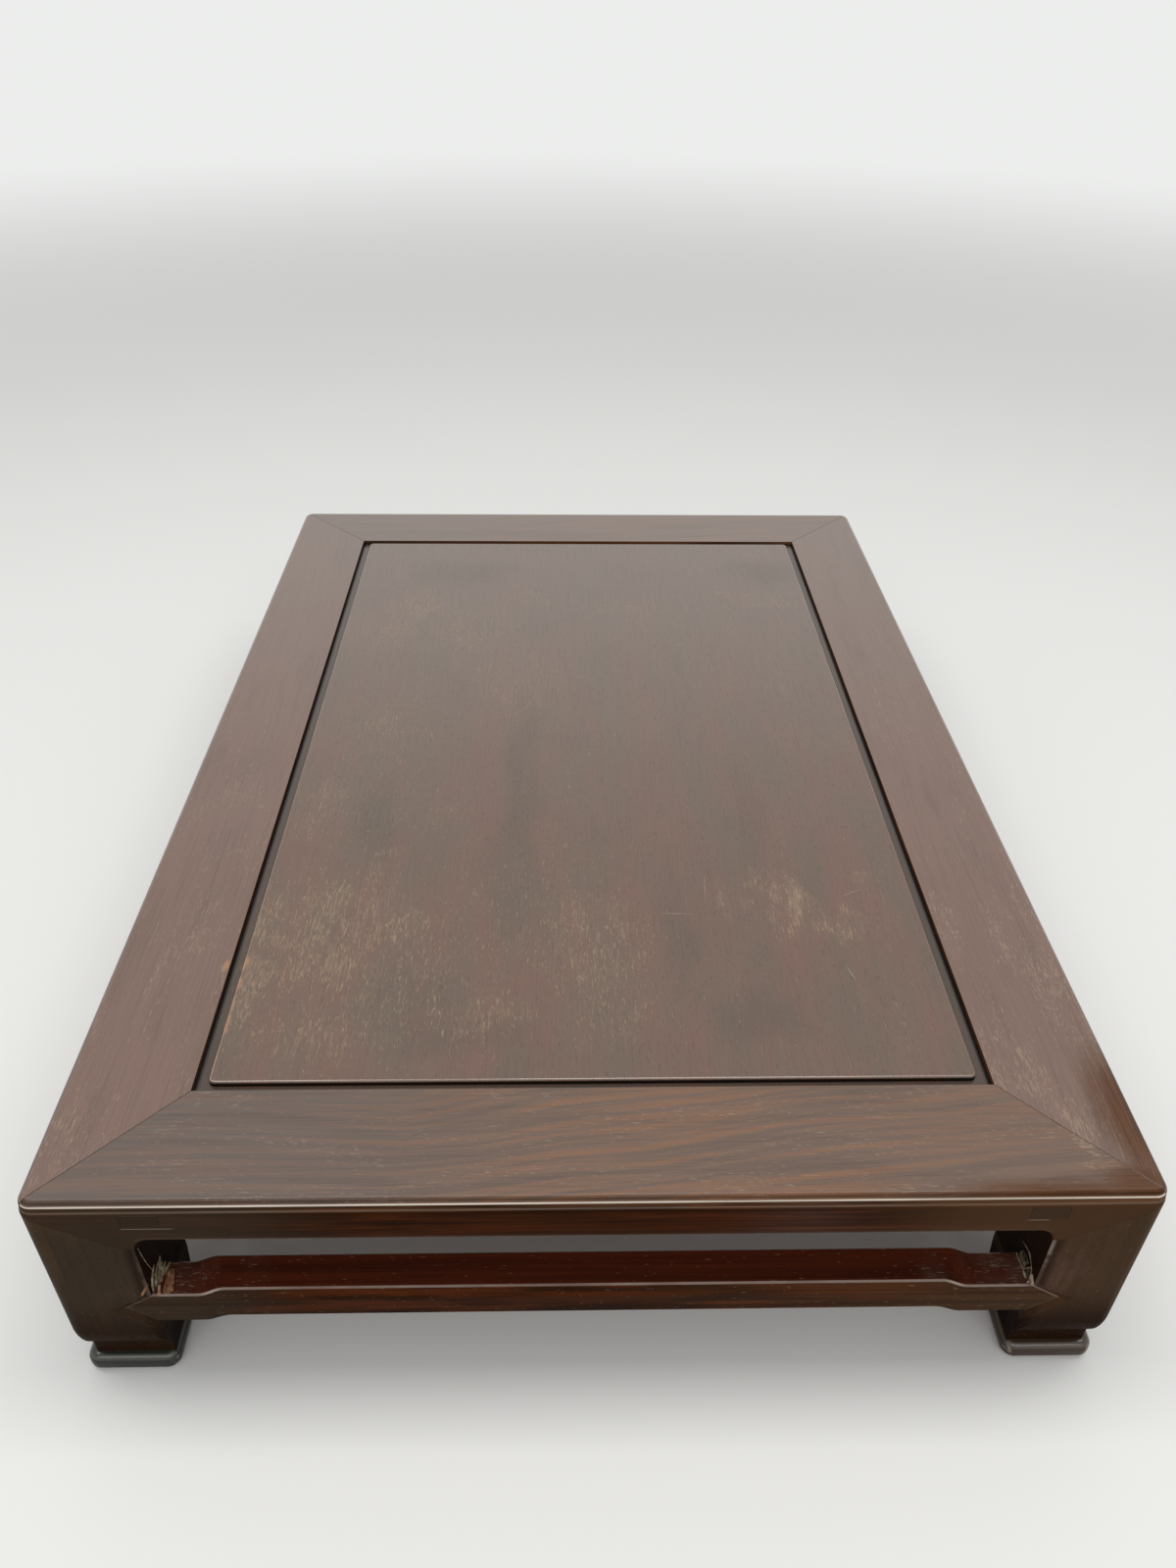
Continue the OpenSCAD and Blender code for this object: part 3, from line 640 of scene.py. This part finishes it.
def rail_arris(f, lines):
    """A rail's upper arris: a band of painted shade, a painted warm sheen on the face under it, a
    painted line of light, and a thin painted highlight below.
    """
    on_arris = f.rise(f.down, *ARRIS)
    # How far up faces look on the painted line of light, how much of it shows, and how strong the
    # painted shade on the arris above it is
    if f.axis == "X":
        line_up, shown, arris_shade = 0.43, 1.0, 0.55
    else:
        near, far = f.rise(f.y, -185.0, -140.0, 0.4, 1.0), f.rise(f.y, 170.0, 40.0, 0.2, 1.0)
        line_up, shown = 0.64, f.product(far, near, f.by_side(0.22, 0.48))
        arris_shade = f.rise(f.y, -120.0, -190.0, 0.1, 0.6)
    # Painted shade: a dark band on the upper part of the rounded arris
    f.lay("dirt_and_shade", f.ridge(f.up, 0.80, 0.19), on_arris, arris_shade)
    upright = f.product(f.rise(f.up, 0.3, 0.15), f.rise(f.up, -0.3, -0.1))
    # Painted sheen: a warm band on the upright face just under the arris
    warm_sheen = f.product(upright, f.rise(f.down, 4.3, 3.1), f.rise(lines, 0.38, 0.60, 0.25, 1.0))
    f.lay("flame", warm_sheen, f.rise(f.x, -140.0, 0.0, 0.12, 0.36))
    # How strong the painted highlights on the arris are, in patches
    polished = f.rise(f.cloud((90, 90, 90), f.seed + 27), 0.35, 0.55, 0.7, 1.0)
    off_line = f.math("ABSOLUTE", f.math("SUBTRACT", f.up, line_up))
    # Painted highlight: the line of light along the arris
    f.lay("glint", f.rise(off_line, 0.17, 0.04), on_arris, shown, polished, f.wear.edges)
    # Painted highlight: a thin bright line at the foot of the arris
    f.lay("edge_wear_and_highlight", f.ridge(f.down, ARRIS[0], 0.6), upright, polished, f.wear.edges, 0.22)


def tenon_lips(f):
    """Painted highlights on the lips under the through tenons' ends, on the short rails' faces."""
    inner = f.math("SUBTRACT", f.in_x, f.by_side(0.0, 5.0))
    past_end = f.math("SUBTRACT", f.in_x, f.by_side(39.5, 36.5))
    between = f.rise(inner, 26.5, 27.7), f.rise(past_end, 2.5, 0.0)
    f.lay("edge_wear_and_highlight", f.ridge(f.z, TENON_LIP_Z, 0.26), *between, f.wear.edges, 0.35)


def finish_rail(name, rail):
    """A rail of the frame: its top with a painted sheen, its darker outer face with painted shade,
    and a polished upper arris with painted highlights.
    """
    f = Wood(name, rail.axis, rail.seed)
    short = rail.axis == "X"
    lines = f.strands(45, 1.5, 23)
    rail_face(f, lines)
    face = f.colour
    pale = rail_marks(f, rail.worn)
    oil = f.spots(f.warped(f.along(20, 4), 3.0, seed=63), CORNER_OIL)
    rail_top(f, rail, pale, oil)
    # Tops take the pale rail colour and upright faces the dark face colour: partly the wood's faded
    # top, partly painted shade on the faces and a painted sheen on the tops
    f.colour = f.mix(f.rise(f.up, 0.3, 0.7), face, f.colour)
    if not short:
        tenon = f.blend(f.by_side(0.0, 0.35), "end_grain", "leg_warm")
        f.colour = f.mix(f.rise(f.math("ABSOLUTE", f.normal_y), 0.9, 0.99), f.colour, tenon)
    rail_arris(f, lines)
    if short:
        tenon_lips(f)
    f.lay("raw", f.rise(f.up, *UNDERSIDE))
    gloss = f.rise(f.up, 0.975, 0.997) if short else f.rise(f.up, 0.50, 0.85)
    return f.polish(f.dry(pale), f.product(gloss, f.rise(oil, 0.0, 0.8, 1.0, 0.38)))


def leg_wood(f):
    """The legs' wood: warmer on the right, dark near the floor, with painted shade on the inner
    faces, and with pale motes.
    """
    clouds = f.cloud((11, 11, 26), seed=25, detail=4)
    f.colour = f.blend(f.rise(clouds, 0.46, 0.70, 0.0, 0.6), "leg", "leg_warm")
    f.lay("leg_warm", f.rightward(0.0, 0.65))
    f.lay("leg_foot", f.rise(f.z, 44.0, 20.0), f.rightward(0.85, 1.0))
    mottled = f.rise(f.cloud((5, 5, 7), seed=26, detail=4, roughness=0.65), 0.42, 0.62)
    f.lay("film", f.ridge(f.x, 132.0, 13.0), f.ridge(f.z, 49.0, 17.0), mottled, 0.65)
    f.lay("dirt_and_shade", f.rise(f.streaks, 0.5, 0.72, 0.0, 0.25))
    f.shade_fibres("dirt_and_shade", 0.2)
    motes = f.cloud((1.0, 1.0, 1.3), seed=24, detail=2, roughness=0.5)
    f.lay("dust", f.rise(motes, 0.66, 0.74, 0.0, 0.16), f.wear.flecks)
    # Painted shade: the faces that look in towards the middle of the table are darkened
    inner_shade_x = f.rise(f.product(f.normal_x, f.math("SIGN", f.x)), -0.3, -0.7)
    inner_shade_y = f.rise(f.product(f.normal_y, f.math("SIGN", f.y)), -0.3, -0.7)
    f.lay("dark_wood_and_inner_shade", f.highest(inner_shade_x, inner_shade_y), 0.85)


def leg_edges(f, turned):
    """The eased edge under a stretcher's point, painted shade on the leg's eased inner edge, and
    its inner arris, worn pale and with a painted highlight.
    """
    upper, lower = f.point_edges()
    eased = f.product(f.rise(lower, -4.6, -4.0), f.rise(lower, 0.2, -0.4), f.rise(upper, 0.0, 0.5))
    f.lay("leg_warm", eased, f.by_side(0.22, 0.4))
    # Painted shade on the eased inner edge
    f.lay("dark_wood_and_inner_shade", f.rise(turned, 0.05, 0.30), f.rise(f.inward, LEG_W - 5.0, LEG_W - 2.5), 0.6)
    # Painted highlight, partly real wear, along the leg's inner arris
    arris = f.product(f.rise(turned, 0.29, 0.36), f.rise(f.inward, LEG_W - 4.0, LEG_W - 2.0))
    arris_sheen_and_wear = f.rise(f.cloud((20, 20, 9), seed=27), 0.42, 0.58, 0.2, 1.0)
    arris_sheen_and_wear = f.product(arris_sheen_and_wear, f.by_side(0.12, 0.36))
    f.lay("edge_wear_and_highlight", arris, f.rise(f.z, 27.0, 30.0), arris_sheen_and_wear, f.wear.edges)


def leg_pad(f, pad, turned):
    """The polished pad under a foot, with a painted highlight on its rim, worn corners, and painted
    shade round its bottom.
    """
    f.colour = f.mix(pad, f.colour, f.blend(f.rightward(), "pad", "pad_warm"))
    # Painted highlight along the pad's rounded rim
    rim = f.product(f.ridge(f.up, 0.72, 0.3), f.rise(f.z, PAD_TOP + 0.3, PAD_TOP))
    f.lay("edge_wear_and_highlight", rim, f.rise(f.z, 3.5, 4.5), f.wear.edges, 0.10)
    rubbed = f.rise(f.cloud((2.5, 2.5, 1.6), seed=28), 0.46, 0.62, 0.05, 0.55)
    f.lay("edge_wear_and_highlight", pad, f.rise(turned, 0.25, 0.48), f.rise(f.z, 2.0, 4.5), rubbed, f.wear.edges)
    # Painted shade round the pad's bottom, where it meets the floor
    f.lay("dirt_and_shade", f.rise(f.z, 1.5, 0.7), f.wear.dirt_and_shade, 0.6)


def finish_legs():
    """The legs: upright grain, worn edges with painted highlights, painted shade inside, and a
    polished pad under each foot.
    """
    f = Wood("leg_finish", "Z", 21.0)
    # How far a face is turned between the x and the y axis, up to 0.5 at 45 degrees
    turned = f.math("ABSOLUTE", f.product(f.normal_x, f.normal_y))
    pad = f.rise(f.z, PAD_TOP + 0.4, PAD_TOP)
    leg_wood(f)
    leg_edges(f, turned)
    leg_pad(f, pad, turned)
    gloss = f.highest(f.product(pad, 0.45), f.rise(f.up, 0.2, 0.7, 0.0, 0.8))
    return f.polish(f.rise(f.fibres, 0.3, 0.8, 0.38, 0.55), gloss)


def stretcher_wood(f, on_top):
    """A stretcher's wood: dark and streaked, like the legs near its ends, and redder and lighter on
    top, partly painted light against the shade of the frame above.
    """
    clouds = f.strands(60, 6, 5, detail=4)
    f.colour = f.blend(f.rise(clouds, 0.42, 0.62), "face", "ember")
    f.lay("flame", f.rise(f.x, -20.0, 110.0, 0.0, 0.22))
    f.near_legs(78.0, 32.0, 0.85)
    # Painted light, partly the wood's own redder top: the tops are lightened against the frame's
    # shade
    f.lay("stretcher", on_top)
    f.lay("dirt_and_shade", f.rise(f.streaks, 0.45, 0.65, 0.0, 0.5))
    f.shade_fibres("dirt_and_shade", 0.35)


def stretcher_film(f, on_top):
    """Dull polish near a stretcher's ends and on its slopes, with pale dashes in it."""
    patches = f.rise(f.cloud((9, 9, 6), f.seed + 13, roughness=0.5), 0.38, 0.6, 0.3, 1.0)
    slope = f.product(f.ridge(f.inward, 57.0, 6.0), 0.8)
    dull = f.product(f.highest(f.rise(f.inward, 54.0, 34.0), slope), patches, on_top)
    f.lay("film", dull, f.rise(f.x, -60.0, 60.0, 0.35, 0.75))
    worn = f.math("MULTIPLY_ADD", dull, 0.6, 0.3)
    f.lay("dust", f.dashes(17, worn, length=2.6, across=0.45), 0.4)


def stretcher_edges(f):
    """Painted highlights, partly real wear, on the edges of a stretcher's points and on its upper
    outer arris.
    """
    upper, lower = f.point_edges()
    # Painted highlight along the edges of the point
    edge = f.ridge(f.math("MINIMUM", upper, lower), 0.25, 0.5)
    point = f.product(edge, f.rise(f.inward, LEG_W + 2.0, LEG_W + 0.5))
    shown = f.product(f.rise(upper, 1.0, 0.5, 0.3, 1.0), f.by_side(0.10, 0.30))
    f.lay("edge_wear_and_highlight", point, shown, f.wear.edges)
    # Painted highlight, partly real wear, along the upper outer arris
    outward = f.math("ABSOLUTE", f.normal_y if f.axis == "X" else f.normal_x)
    between_legs = f.rise(f.inward, LEG_W + 0.5, LEG_W + 3.0, 0.3, 1.0)
    arris = f.product(f.ridge(outward, 0.62, 0.15), f.rise(f.up, 0.0, 0.3), between_legs)
    arris_sheen_and_wear = f.rise(f.cloud((30, 30, 30), f.seed + 27), 0.36, 0.56, 0.5, 0.95)
    f.lay("edge_wear_and_highlight", arris, arris_sheen_and_wear, f.wear.edges)


def finish_stretcher(name, axis, seed):
    """A stretcher: deep red-brown with grain along it, dull near its ends, with bright edges."""
    f = Wood(name, axis, seed)
    on_top = f.rise(f.up, 0.5, 0.9)
    stretcher_wood(f, on_top)
    stretcher_film(f, on_top)
    stretcher_edges(f)
    return f.polish(f.rise(f.fibres, 0.3, 0.8, 0.34, 0.5), f.rise(f.up, 0.2, 0.7, 0.0, 0.7))


def finish_battens():
    """The battens: raw wood, left from the plane."""
    f = Wood("batten_finish", "X", 41.0)
    f.colour = f.blend(f.rise(f.streaks, 0.35, 0.65, 0.0, 0.6), "raw", "face")
    f.lay("dirt_and_shade", f.pores, 0.6)
    return f.polish(f.rise(f.fibres, 0.3, 0.7, 0.6, 0.75), 0.0)


def finish_scrap(name, base, pale, seed):
    """Dry torn wood: matt, with fine fibres and paler tips."""
    f = Finish(name)
    mottled = f.cloud((0.8, 1.6, 1.2), seed, detail=4)
    threads = f.cloud((0.2, 2.4, 0.9), seed + 3, detail=2, roughness=0.5)
    f.colour = f.blend(f.rise(mottled, 0.40, 0.62), base, pale)
    f.lay(base, f.rise(threads, 0.52, 0.66, 0.0, 0.6))
    return f.close(f.rise(threads, 0.3, 0.7, 0.6, 0.8), 0.0, f.relief(threads, 0.12))


def dress(material, *nodes):
    """Gives CAD nodes a finish."""
    for node in nodes:
        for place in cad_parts[node].material_slots:
            place.material = material


class TABLE_OT_frame(bpy.types.Operator):
    """Finishes the four mitred rails"""

    bl_idname = "display_table.frame"
    bl_label = "Frame"

    def execute(self, context):
        for node, rail in RAILS.items():
            dress(finish_rail(node + "_finish", rail), node)
        return {"FINISHED"}


class TABLE_OT_panel(bpy.types.Operator):
    """Finishes the floating panel"""

    bl_idname = "display_table.centre_panel"
    bl_label = "Panel"

    def execute(self, context):
        dress(finish_panel(), "centre_panel")
        return {"FINISHED"}


class TABLE_OT_battens(bpy.types.Operator):
    """Finishes the battens under the panel"""

    bl_idname = "display_table.battens"
    bl_label = "Battens"

    def execute(self, context):
        dress(finish_battens(), "batten_front", "batten_back")
        return {"FINISHED"}


class TABLE_OT_legs(bpy.types.Operator):
    """Finishes the legs and their feet"""

    bl_idname = "display_table.legs"
    bl_label = "Legs"

    def execute(self, context):
        legs = ("leg_front_left", "leg_front_right", "leg_back_left", "leg_back_right")
        dress(finish_legs(), *legs)
        return {"FINISHED"}


class TABLE_OT_stretchers(bpy.types.Operator):
    """Finishes the humpbacked stretchers"""

    bl_idname = "display_table.stretchers"
    bl_label = "Stretchers"

    def execute(self, context):
        ends = finish_stretcher("end_stretcher_finish", "X", 71.0)
        sides = finish_stretcher("side_stretcher_finish", "Y", 83.0)
        dress(ends, "stretcher_front", "stretcher_back")
        dress(sides, "stretcher_left", "stretcher_right")
        return {"FINISHED"}


# Torn fibres at the front joints: how wide each is, and the points that it follows, in millimetres
FIBRES = {
    "fibres_left": (
        (0.80, (-126.7, -222.7, 40.9), (-126.7, -222.3, 43.0),
         (-126.9, -220.6, 45.4), (-126.9, -217.8, 46.4)),
        (0.75, (-126.4, -221.5, 40.9), (-126.5, -220.4, 42.2),
         (-126.8, -218.4, 43.6), (-126.8, -215.3, 44.2)),
        (0.85, (-126.0, -220.6, 40.9), (-126.3, -218.6, 41.5),
         (-126.6, -216.0, 42.6), (-126.8, -213.5, 44.3)),
        (0.60, (-125.6, -220.2, 41.0), (-125.8, -218.0, 41.3),
         (-126.2, -215.8, 41.7), (-126.5, -214.2, 42.6)),
        (0.70, (-125.2, -219.8, 41.0), (-125.5, -217.4, 41.2),
         (-125.8, -215.0, 41.3), (-125.8, -213.5, 41.5)),
        (0.75, (-124.9, -217.7, 41.0), (-124.9, -216.2, 41.2),
         (-124.6, -214.9, 41.3), (-124.3, -213.6, 41.3)),
        (0.45, (-126.8, -222.6, 62.6), (-126.9, -221.8, 57.4),
         (-126.9, -220.8, 52.0), (-126.8, -219.6, 46.8)),
    ),
    "fibres_right": (
        (0.78, (125.3, -213.4, 40.9), (125.1, -214.9, 41.3),
         (125.2, -217.0, 41.3), (125.4, -219.0, 41.1)),
        (0.85, (125.4, -218.6, 41.1), (125.4, -219.8, 41.2),
         (125.3, -220.6, 41.2), (125.5, -221.9, 40.9)),
        (0.58, (126.8, -211.6, 44.2), (126.8, -214.4, 45.6),
         (126.8, -217.4, 46.0), (126.8, -219.8, 44.4)),
        (0.50, (126.8, -219.5, 44.5), (126.9, -220.6, 43.4),
         (126.7, -221.4, 42.2), (126.3, -221.9, 41.0)),
        (0.80, (125.3, -218.8, 41.2), (125.9, -218.9, 41.5),
         (126.4, -219.3, 42.4), (126.9, -219.9, 43.4)),
        (0.60, (125.1, -223.2, 41.0), (125.7, -222.9, 41.2),
         (126.3, -222.6, 41.2), (126.9, -222.4, 41.4)),
    ),
}
# Thin flat scraps at the front joints: how thick each is, and its corners, in millimetres, taken
# anticlockwise as it is seen from outside
SLIVERS = {
    "slivers_left": (
        (0.7, (-124.0, -223.2, 40.9), (-122.7, -223.6, 40.9),
         (-121.1, -222.6, 40.9), (-121.6, -219.4, 41.0),
         (-122.4, -216.0, 41.0), (-124.5, -215.9, 41.1), (-124.2, -219.8, 41.0)),
        (0.6, (-130.0, -224.4, 41.8), (-129.1, -224.3, 41.9),
         (-127.3, -223.8, 44.9), (-126.9, -223.5, 46.6),
         (-127.7, -223.8, 46.2), (-129.3, -224.2, 43.6)),
    ),
    "chip_left": (
        (0.6, (-125.3, -223.7, 40.9), (-124.5, -223.5, 40.9),
         (-125.2, -220.9, 41.1), (-126.0, -220.9, 41.1)),
    ),
    "film_right": (
        (0.3, (125.8, -218.9, 41.0), (125.3, -216.4, 40.9),
         (125.5, -214.2, 41.0), (126.8, -213.2, 42.4),
         (126.9, -215.6, 43.4), (126.9, -218.2, 43.2)),
        (0.5, (125.9, -221.6, 40.9), (125.8, -219.4, 40.9),
         (126.9, -218.4, 42.4), (126.9, -220.2, 43.8),
         (126.9, -222.0, 42.0)),
    ),
    "chip_right": (
        (0.7, (126.9, -224.0, 41.5), (126.2, -223.7, 40.9),
         (126.2, -221.9, 40.9), (126.9, -221.6, 43.0)),
    ),
}
# How many sides a fibre has, and how thick it is for its width
FIBRE_SIDES, FIBRE_FLATNESS = 8, 0.55
# Which way a fibre's broad side turns
FIBRE_UP = (0.3, 0.0, 1.0)


def put(name, data):
    """A new object in the scene."""
    made = bpy.data.objects.new(name, data)
    bpy.context.scene.collection.objects.link(made)
    return made


def curve_through(points, steps=4):
    """More places, in metres, on a smooth curve through the given points."""
    spots = [Vector(point) / MM for point in points]
    spots = [2 * spots[0] - spots[1], *spots, 2 * spots[-1] - spots[-2]]
    path = []
    for a, b, c, d in zip(spots, spots[1:], spots[2:], spots[3:]):
        for k in range(steps):
            t = k / steps
            bend = (2 * a - 5 * b + 4 * c - d) * t ** 2 + (3 * b - a - 3 * c + d) * t ** 3
            path.append((2 * b + (c - a) * t + bend) / 2)
    return path + [spots[-2]]


def add_fibre(mesh, width, points, draw):
    """A flat ragged fibre that follows its points and thins out at both ends."""
    path = curve_through(points)
    last = len(path) - 1
    turns = [2 * pi * side / FIBRE_SIDES for side in range(FIBRE_SIDES)]
    rings = []
    for k, spot in enumerate(path):
        ahead = (path[min(k + 1, last)] - path[max(k - 1, 0)]).normalized()
        aside = ahead.cross(Vector(FIBRE_UP)).normalized()
        over = aside.cross(ahead)
        swell = 0.3 + 0.7 * sin(pi * k / last) ** 0.5
        half = width / MM / 2 * swell * draw.uniform(0.8, 1.15)
        ring = []
        for turn in turns:
            place = spot + aside * half * cos(turn) + over * half * FIBRE_FLATNESS * sin(turn)
            ring.append(mesh.verts.new(place))
        rings.append(ring)
    for ring, further in zip(rings, rings[1:]):
        for k in range(FIBRE_SIDES):
            mesh.faces.new((ring[k], ring[k - 1], further[k - 1], further[k]))
    for ring in (rings[0], rings[-1]):
        mesh.faces.new(ring)


def add_sliver(mesh, thick, corners, draw):
    """A flat splinter with a bevelled and slightly bumpy upper side."""
    spots = [Vector(corner) / MM for corner in corners]
    middle = sum(spots, Vector()) / len(spots)
    over = Vector()
    for here, following in zip(spots, spots[1:] + spots[:1]):
        over += (here - middle).cross(following - middle)
    over.normalize()
    lift = thick / MM
    lower = [mesh.verts.new(spot) for spot in spots]
    edge = [mesh.verts.new(spot + over * lift * draw.uniform(0.5, 0.75)) for spot in spots]
    inner = []
    for spot in spots:
        drawn_in = middle + (spot - middle) * draw.uniform(0.55, 0.75)
        inner.append(mesh.verts.new(drawn_in + over * lift * draw.uniform(0.85, 1.1)))
    peak = mesh.verts.new(middle + over * lift)
    mesh.faces.new(lower)
    for k in range(len(spots)):
        mesh.faces.new((lower[k - 1], lower[k], edge[k], edge[k - 1]))
        mesh.faces.new((edge[k - 1], edge[k], inner[k], inner[k - 1]))
        mesh.faces.new((inner[k - 1], inner[k], peak))


class TABLE_OT_scraps(bpy.types.Operator):
    """Leaves torn fibres and slivers of wood in the front joints"""

    bl_idname = "display_table.joint_scraps"
    bl_label = "Joint scraps"

    def execute(self, context):
        finishes = {
            "fibres": finish_scrap("fibre_finish", "fibre", "thread", 91.0),
            "film": finish_scrap("film_finish", "pad", "fibre", 103.0),
            "slivers": finish_scrap("sliver_finish", "sliver", "chip", 97.0),
            "chip": finish_scrap("chip_finish", "chip", "edge_wear_and_highlight", 107.0),
        }
        draw = Random(7)
        for add, table in ((add_fibre, FIBRES), (add_sliver, SLIVERS)):
            for name, scraps in table.items():
                shape = bmesh.new()
                for size, *places in scraps:
                    add(shape, size, places, draw)
                bmesh.ops.recalc_face_normals(shape, faces=shape.faces)
                mesh = bpy.data.meshes.new(name)
                shape.to_mesh(mesh)
                shape.free()
                kind = name.split("_")[0]
                mesh.materials.append(finishes[kind])
                piece = put(name, mesh)
                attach(piece, "root")
        return {"FINISHED"}


# How far the floor reaches each way, in metres, and from where to where it fades, in millimetres
FLOOR_REACH = 6.0
FLOOR_FADE = (700.0, 2200.0)


def backdrop_rays(nodes):
    """1 for the rays that see the backdrop: the camera's, and those off or through shiny things."""
    rays = nodes.node("ShaderNodeLightPath").outputs
    kinds = ("Is Camera Ray", "Is Glossy Ray", "Is Transmission Ray")
    return nodes.highest(*[rays[kind] for kind in kinds])


def add_floor(settings):
    """A wide pale floor that fades into the backdrop and can't be seen from below."""
    sides = ((-1, -1), (1, -1), (1, 1), (-1, 1))
    mesh = bpy.data.meshes.new("floor")
    mesh.from_pydata([(x * FLOOR_REACH, y * FLOOR_REACH, 0) for x, y in sides], [], [(0, 1, 2, 3)])
    f = Finish("floor_finish")
    distance = f.node("ShaderNodeVectorMath", {0: f.place}, operation="LENGTH").outputs["Value"]
    seen = f.product(f.rise(distance, *FLOOR_FADE), backdrop_rays(f))
    matt = f.node("ShaderNodeBsdfDiffuse", {"Color": settings.floor}).outputs[0]
    glow = f.node("ShaderNodeEmission", {"Color": settings.backdrop, "Strength": 1.0}).outputs[0]
    faded = f.node("ShaderNodeMixShader", {0: seen, 1: matt, 2: glow}).outputs[0]
    below = f.node("ShaderNodeNewGeometry").outputs["Backfacing"]
    clear = f.node("ShaderNodeBsdfTransparent").outputs[0]
    whole = f.node("ShaderNodeMixShader", {0: below, 1: faded, 2: clear}).outputs[0]
    f.node("ShaderNodeOutputMaterial", {"Surface": whole})
    mesh.materials.append(f.material)
    floor = put("floor", mesh)


def set_world(settings):
    """Even room light, with the backdrop's colour where the table is seen against it."""
    world = bpy.data.worlds.new("room")
    bpy.context.scene.world = world
    room = Nodes(world)
    even = {"Color": (1, 1, 1, 1), "Strength": settings.sky}
    light = room.node("ShaderNodeBackground", even).outputs[0]
    backdrop = room.node("ShaderNodeBackground", {"Color": settings.backdrop}).outputs[0]
    either = {0: backdrop_rays(room), 1: light, 2: backdrop}
    surface = room.node("ShaderNodeMixShader", either).outputs[0]
    room.node("ShaderNodeOutputWorld", {"Surface": surface})


def add_lamp(name, size, power, place):
    """A long soft lamp across the table that looks at its middle."""
    lamp = put(name, bpy.data.lights.new(name, "AREA"))
    lamp.data.shape = "RECTANGLE"
    lamp.data.size, lamp.data.size_y = size
    lamp.data.energy = power
    lamp.location = place
    lamp.rotation_euler = (-lamp.location).to_track_quat("-Z", "Y").to_euler()


def add_camera(settings):
    """The camera at the photograph's viewing angle."""
    camera = put("camera", bpy.data.cameras.new("camera"))
    camera.data.lens = settings.lens
    camera.data.sensor_width = 36
    camera.data.clip_start = 0.01
    turn = Matrix.Rotation(-settings.yaw, 4, "Z")
    tilt = Matrix.Rotation(pi / 2 - settings.pitch, 4, "X")
    lean = Matrix.Rotation(settings.roll, 4, "Z")
    camera.matrix_world = Matrix.Translation(settings.place) @ turn @ tilt @ lean
    bpy.context.scene.camera = camera


class TABLE_OT_studio(bpy.types.Operator):
    """Sets the floor, the lamps and the camera"""

    bl_idname = "display_table.studio"
    bl_label = "Studio"

    def execute(self, context):
        settings = context.scene.table_studio
        add_floor(settings)
        set_world(settings)
        add_lamp("overhead_lamp", size=(1.8, 0.4), power=settings.key, place=(0, -0.05, 1.3))
        add_lamp("front_lamp", size=(1.6, 0.2), power=settings.fill, place=(0, -1.15, 1.05))
        add_camera(settings)
        context.scene.view_settings.view_transform = "Standard"
        return {"FINISHED"}


class TABLE_PT_sidebar(bpy.types.Panel):
    """Lists the steps of the table and what may be changed"""

    bl_label = "Low Display Table"
    bl_space_type = "VIEW_3D"
    bl_region_type = "UI"
    bl_category = "Table"

    def draw(self, context):
        for group in GROUPS:
            settings = getattr(context.scene, group)
            for key in settings.__annotations__:
                self.layout.prop(settings, key)
        for operator in OPERATORS:
            self.layout.operator(operator.bl_idname)


GROUPS = {"table_tones": WoodTones, "table_wear": WearAmounts, "table_studio": StudioSettings}
OPERATORS = (
    TABLE_OT_frame, TABLE_OT_panel, TABLE_OT_battens, TABLE_OT_legs, TABLE_OT_stretchers,
    TABLE_OT_scraps, TABLE_OT_studio,
)
CLASSES = (*GROUPS.values(), *OPERATORS, TABLE_PT_sidebar)


def register():
    """Adds the settings, the steps and the panel to Blender."""
    for item in CLASSES:
        bpy.utils.register_class(item)
    for name, group in GROUPS.items():
        setattr(bpy.types.Scene, name, PointerProperty(type=group))


def unregister():
    """Takes them out again."""
    for name in GROUPS:
        delattr(bpy.types.Scene, name)
    for item in reversed(CLASSES):
        bpy.utils.unregister_class(item)


def main():
    """Finishes the table piece by piece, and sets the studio."""
    register()
    bpy.ops.display_table.frame()
    bpy.ops.display_table.centre_panel()
    bpy.ops.display_table.battens()
    bpy.ops.display_table.legs()
    bpy.ops.display_table.stretchers()
    bpy.ops.display_table.joint_scraps()
    bpy.ops.display_table.studio()


if __name__ == "__main__":
    main()
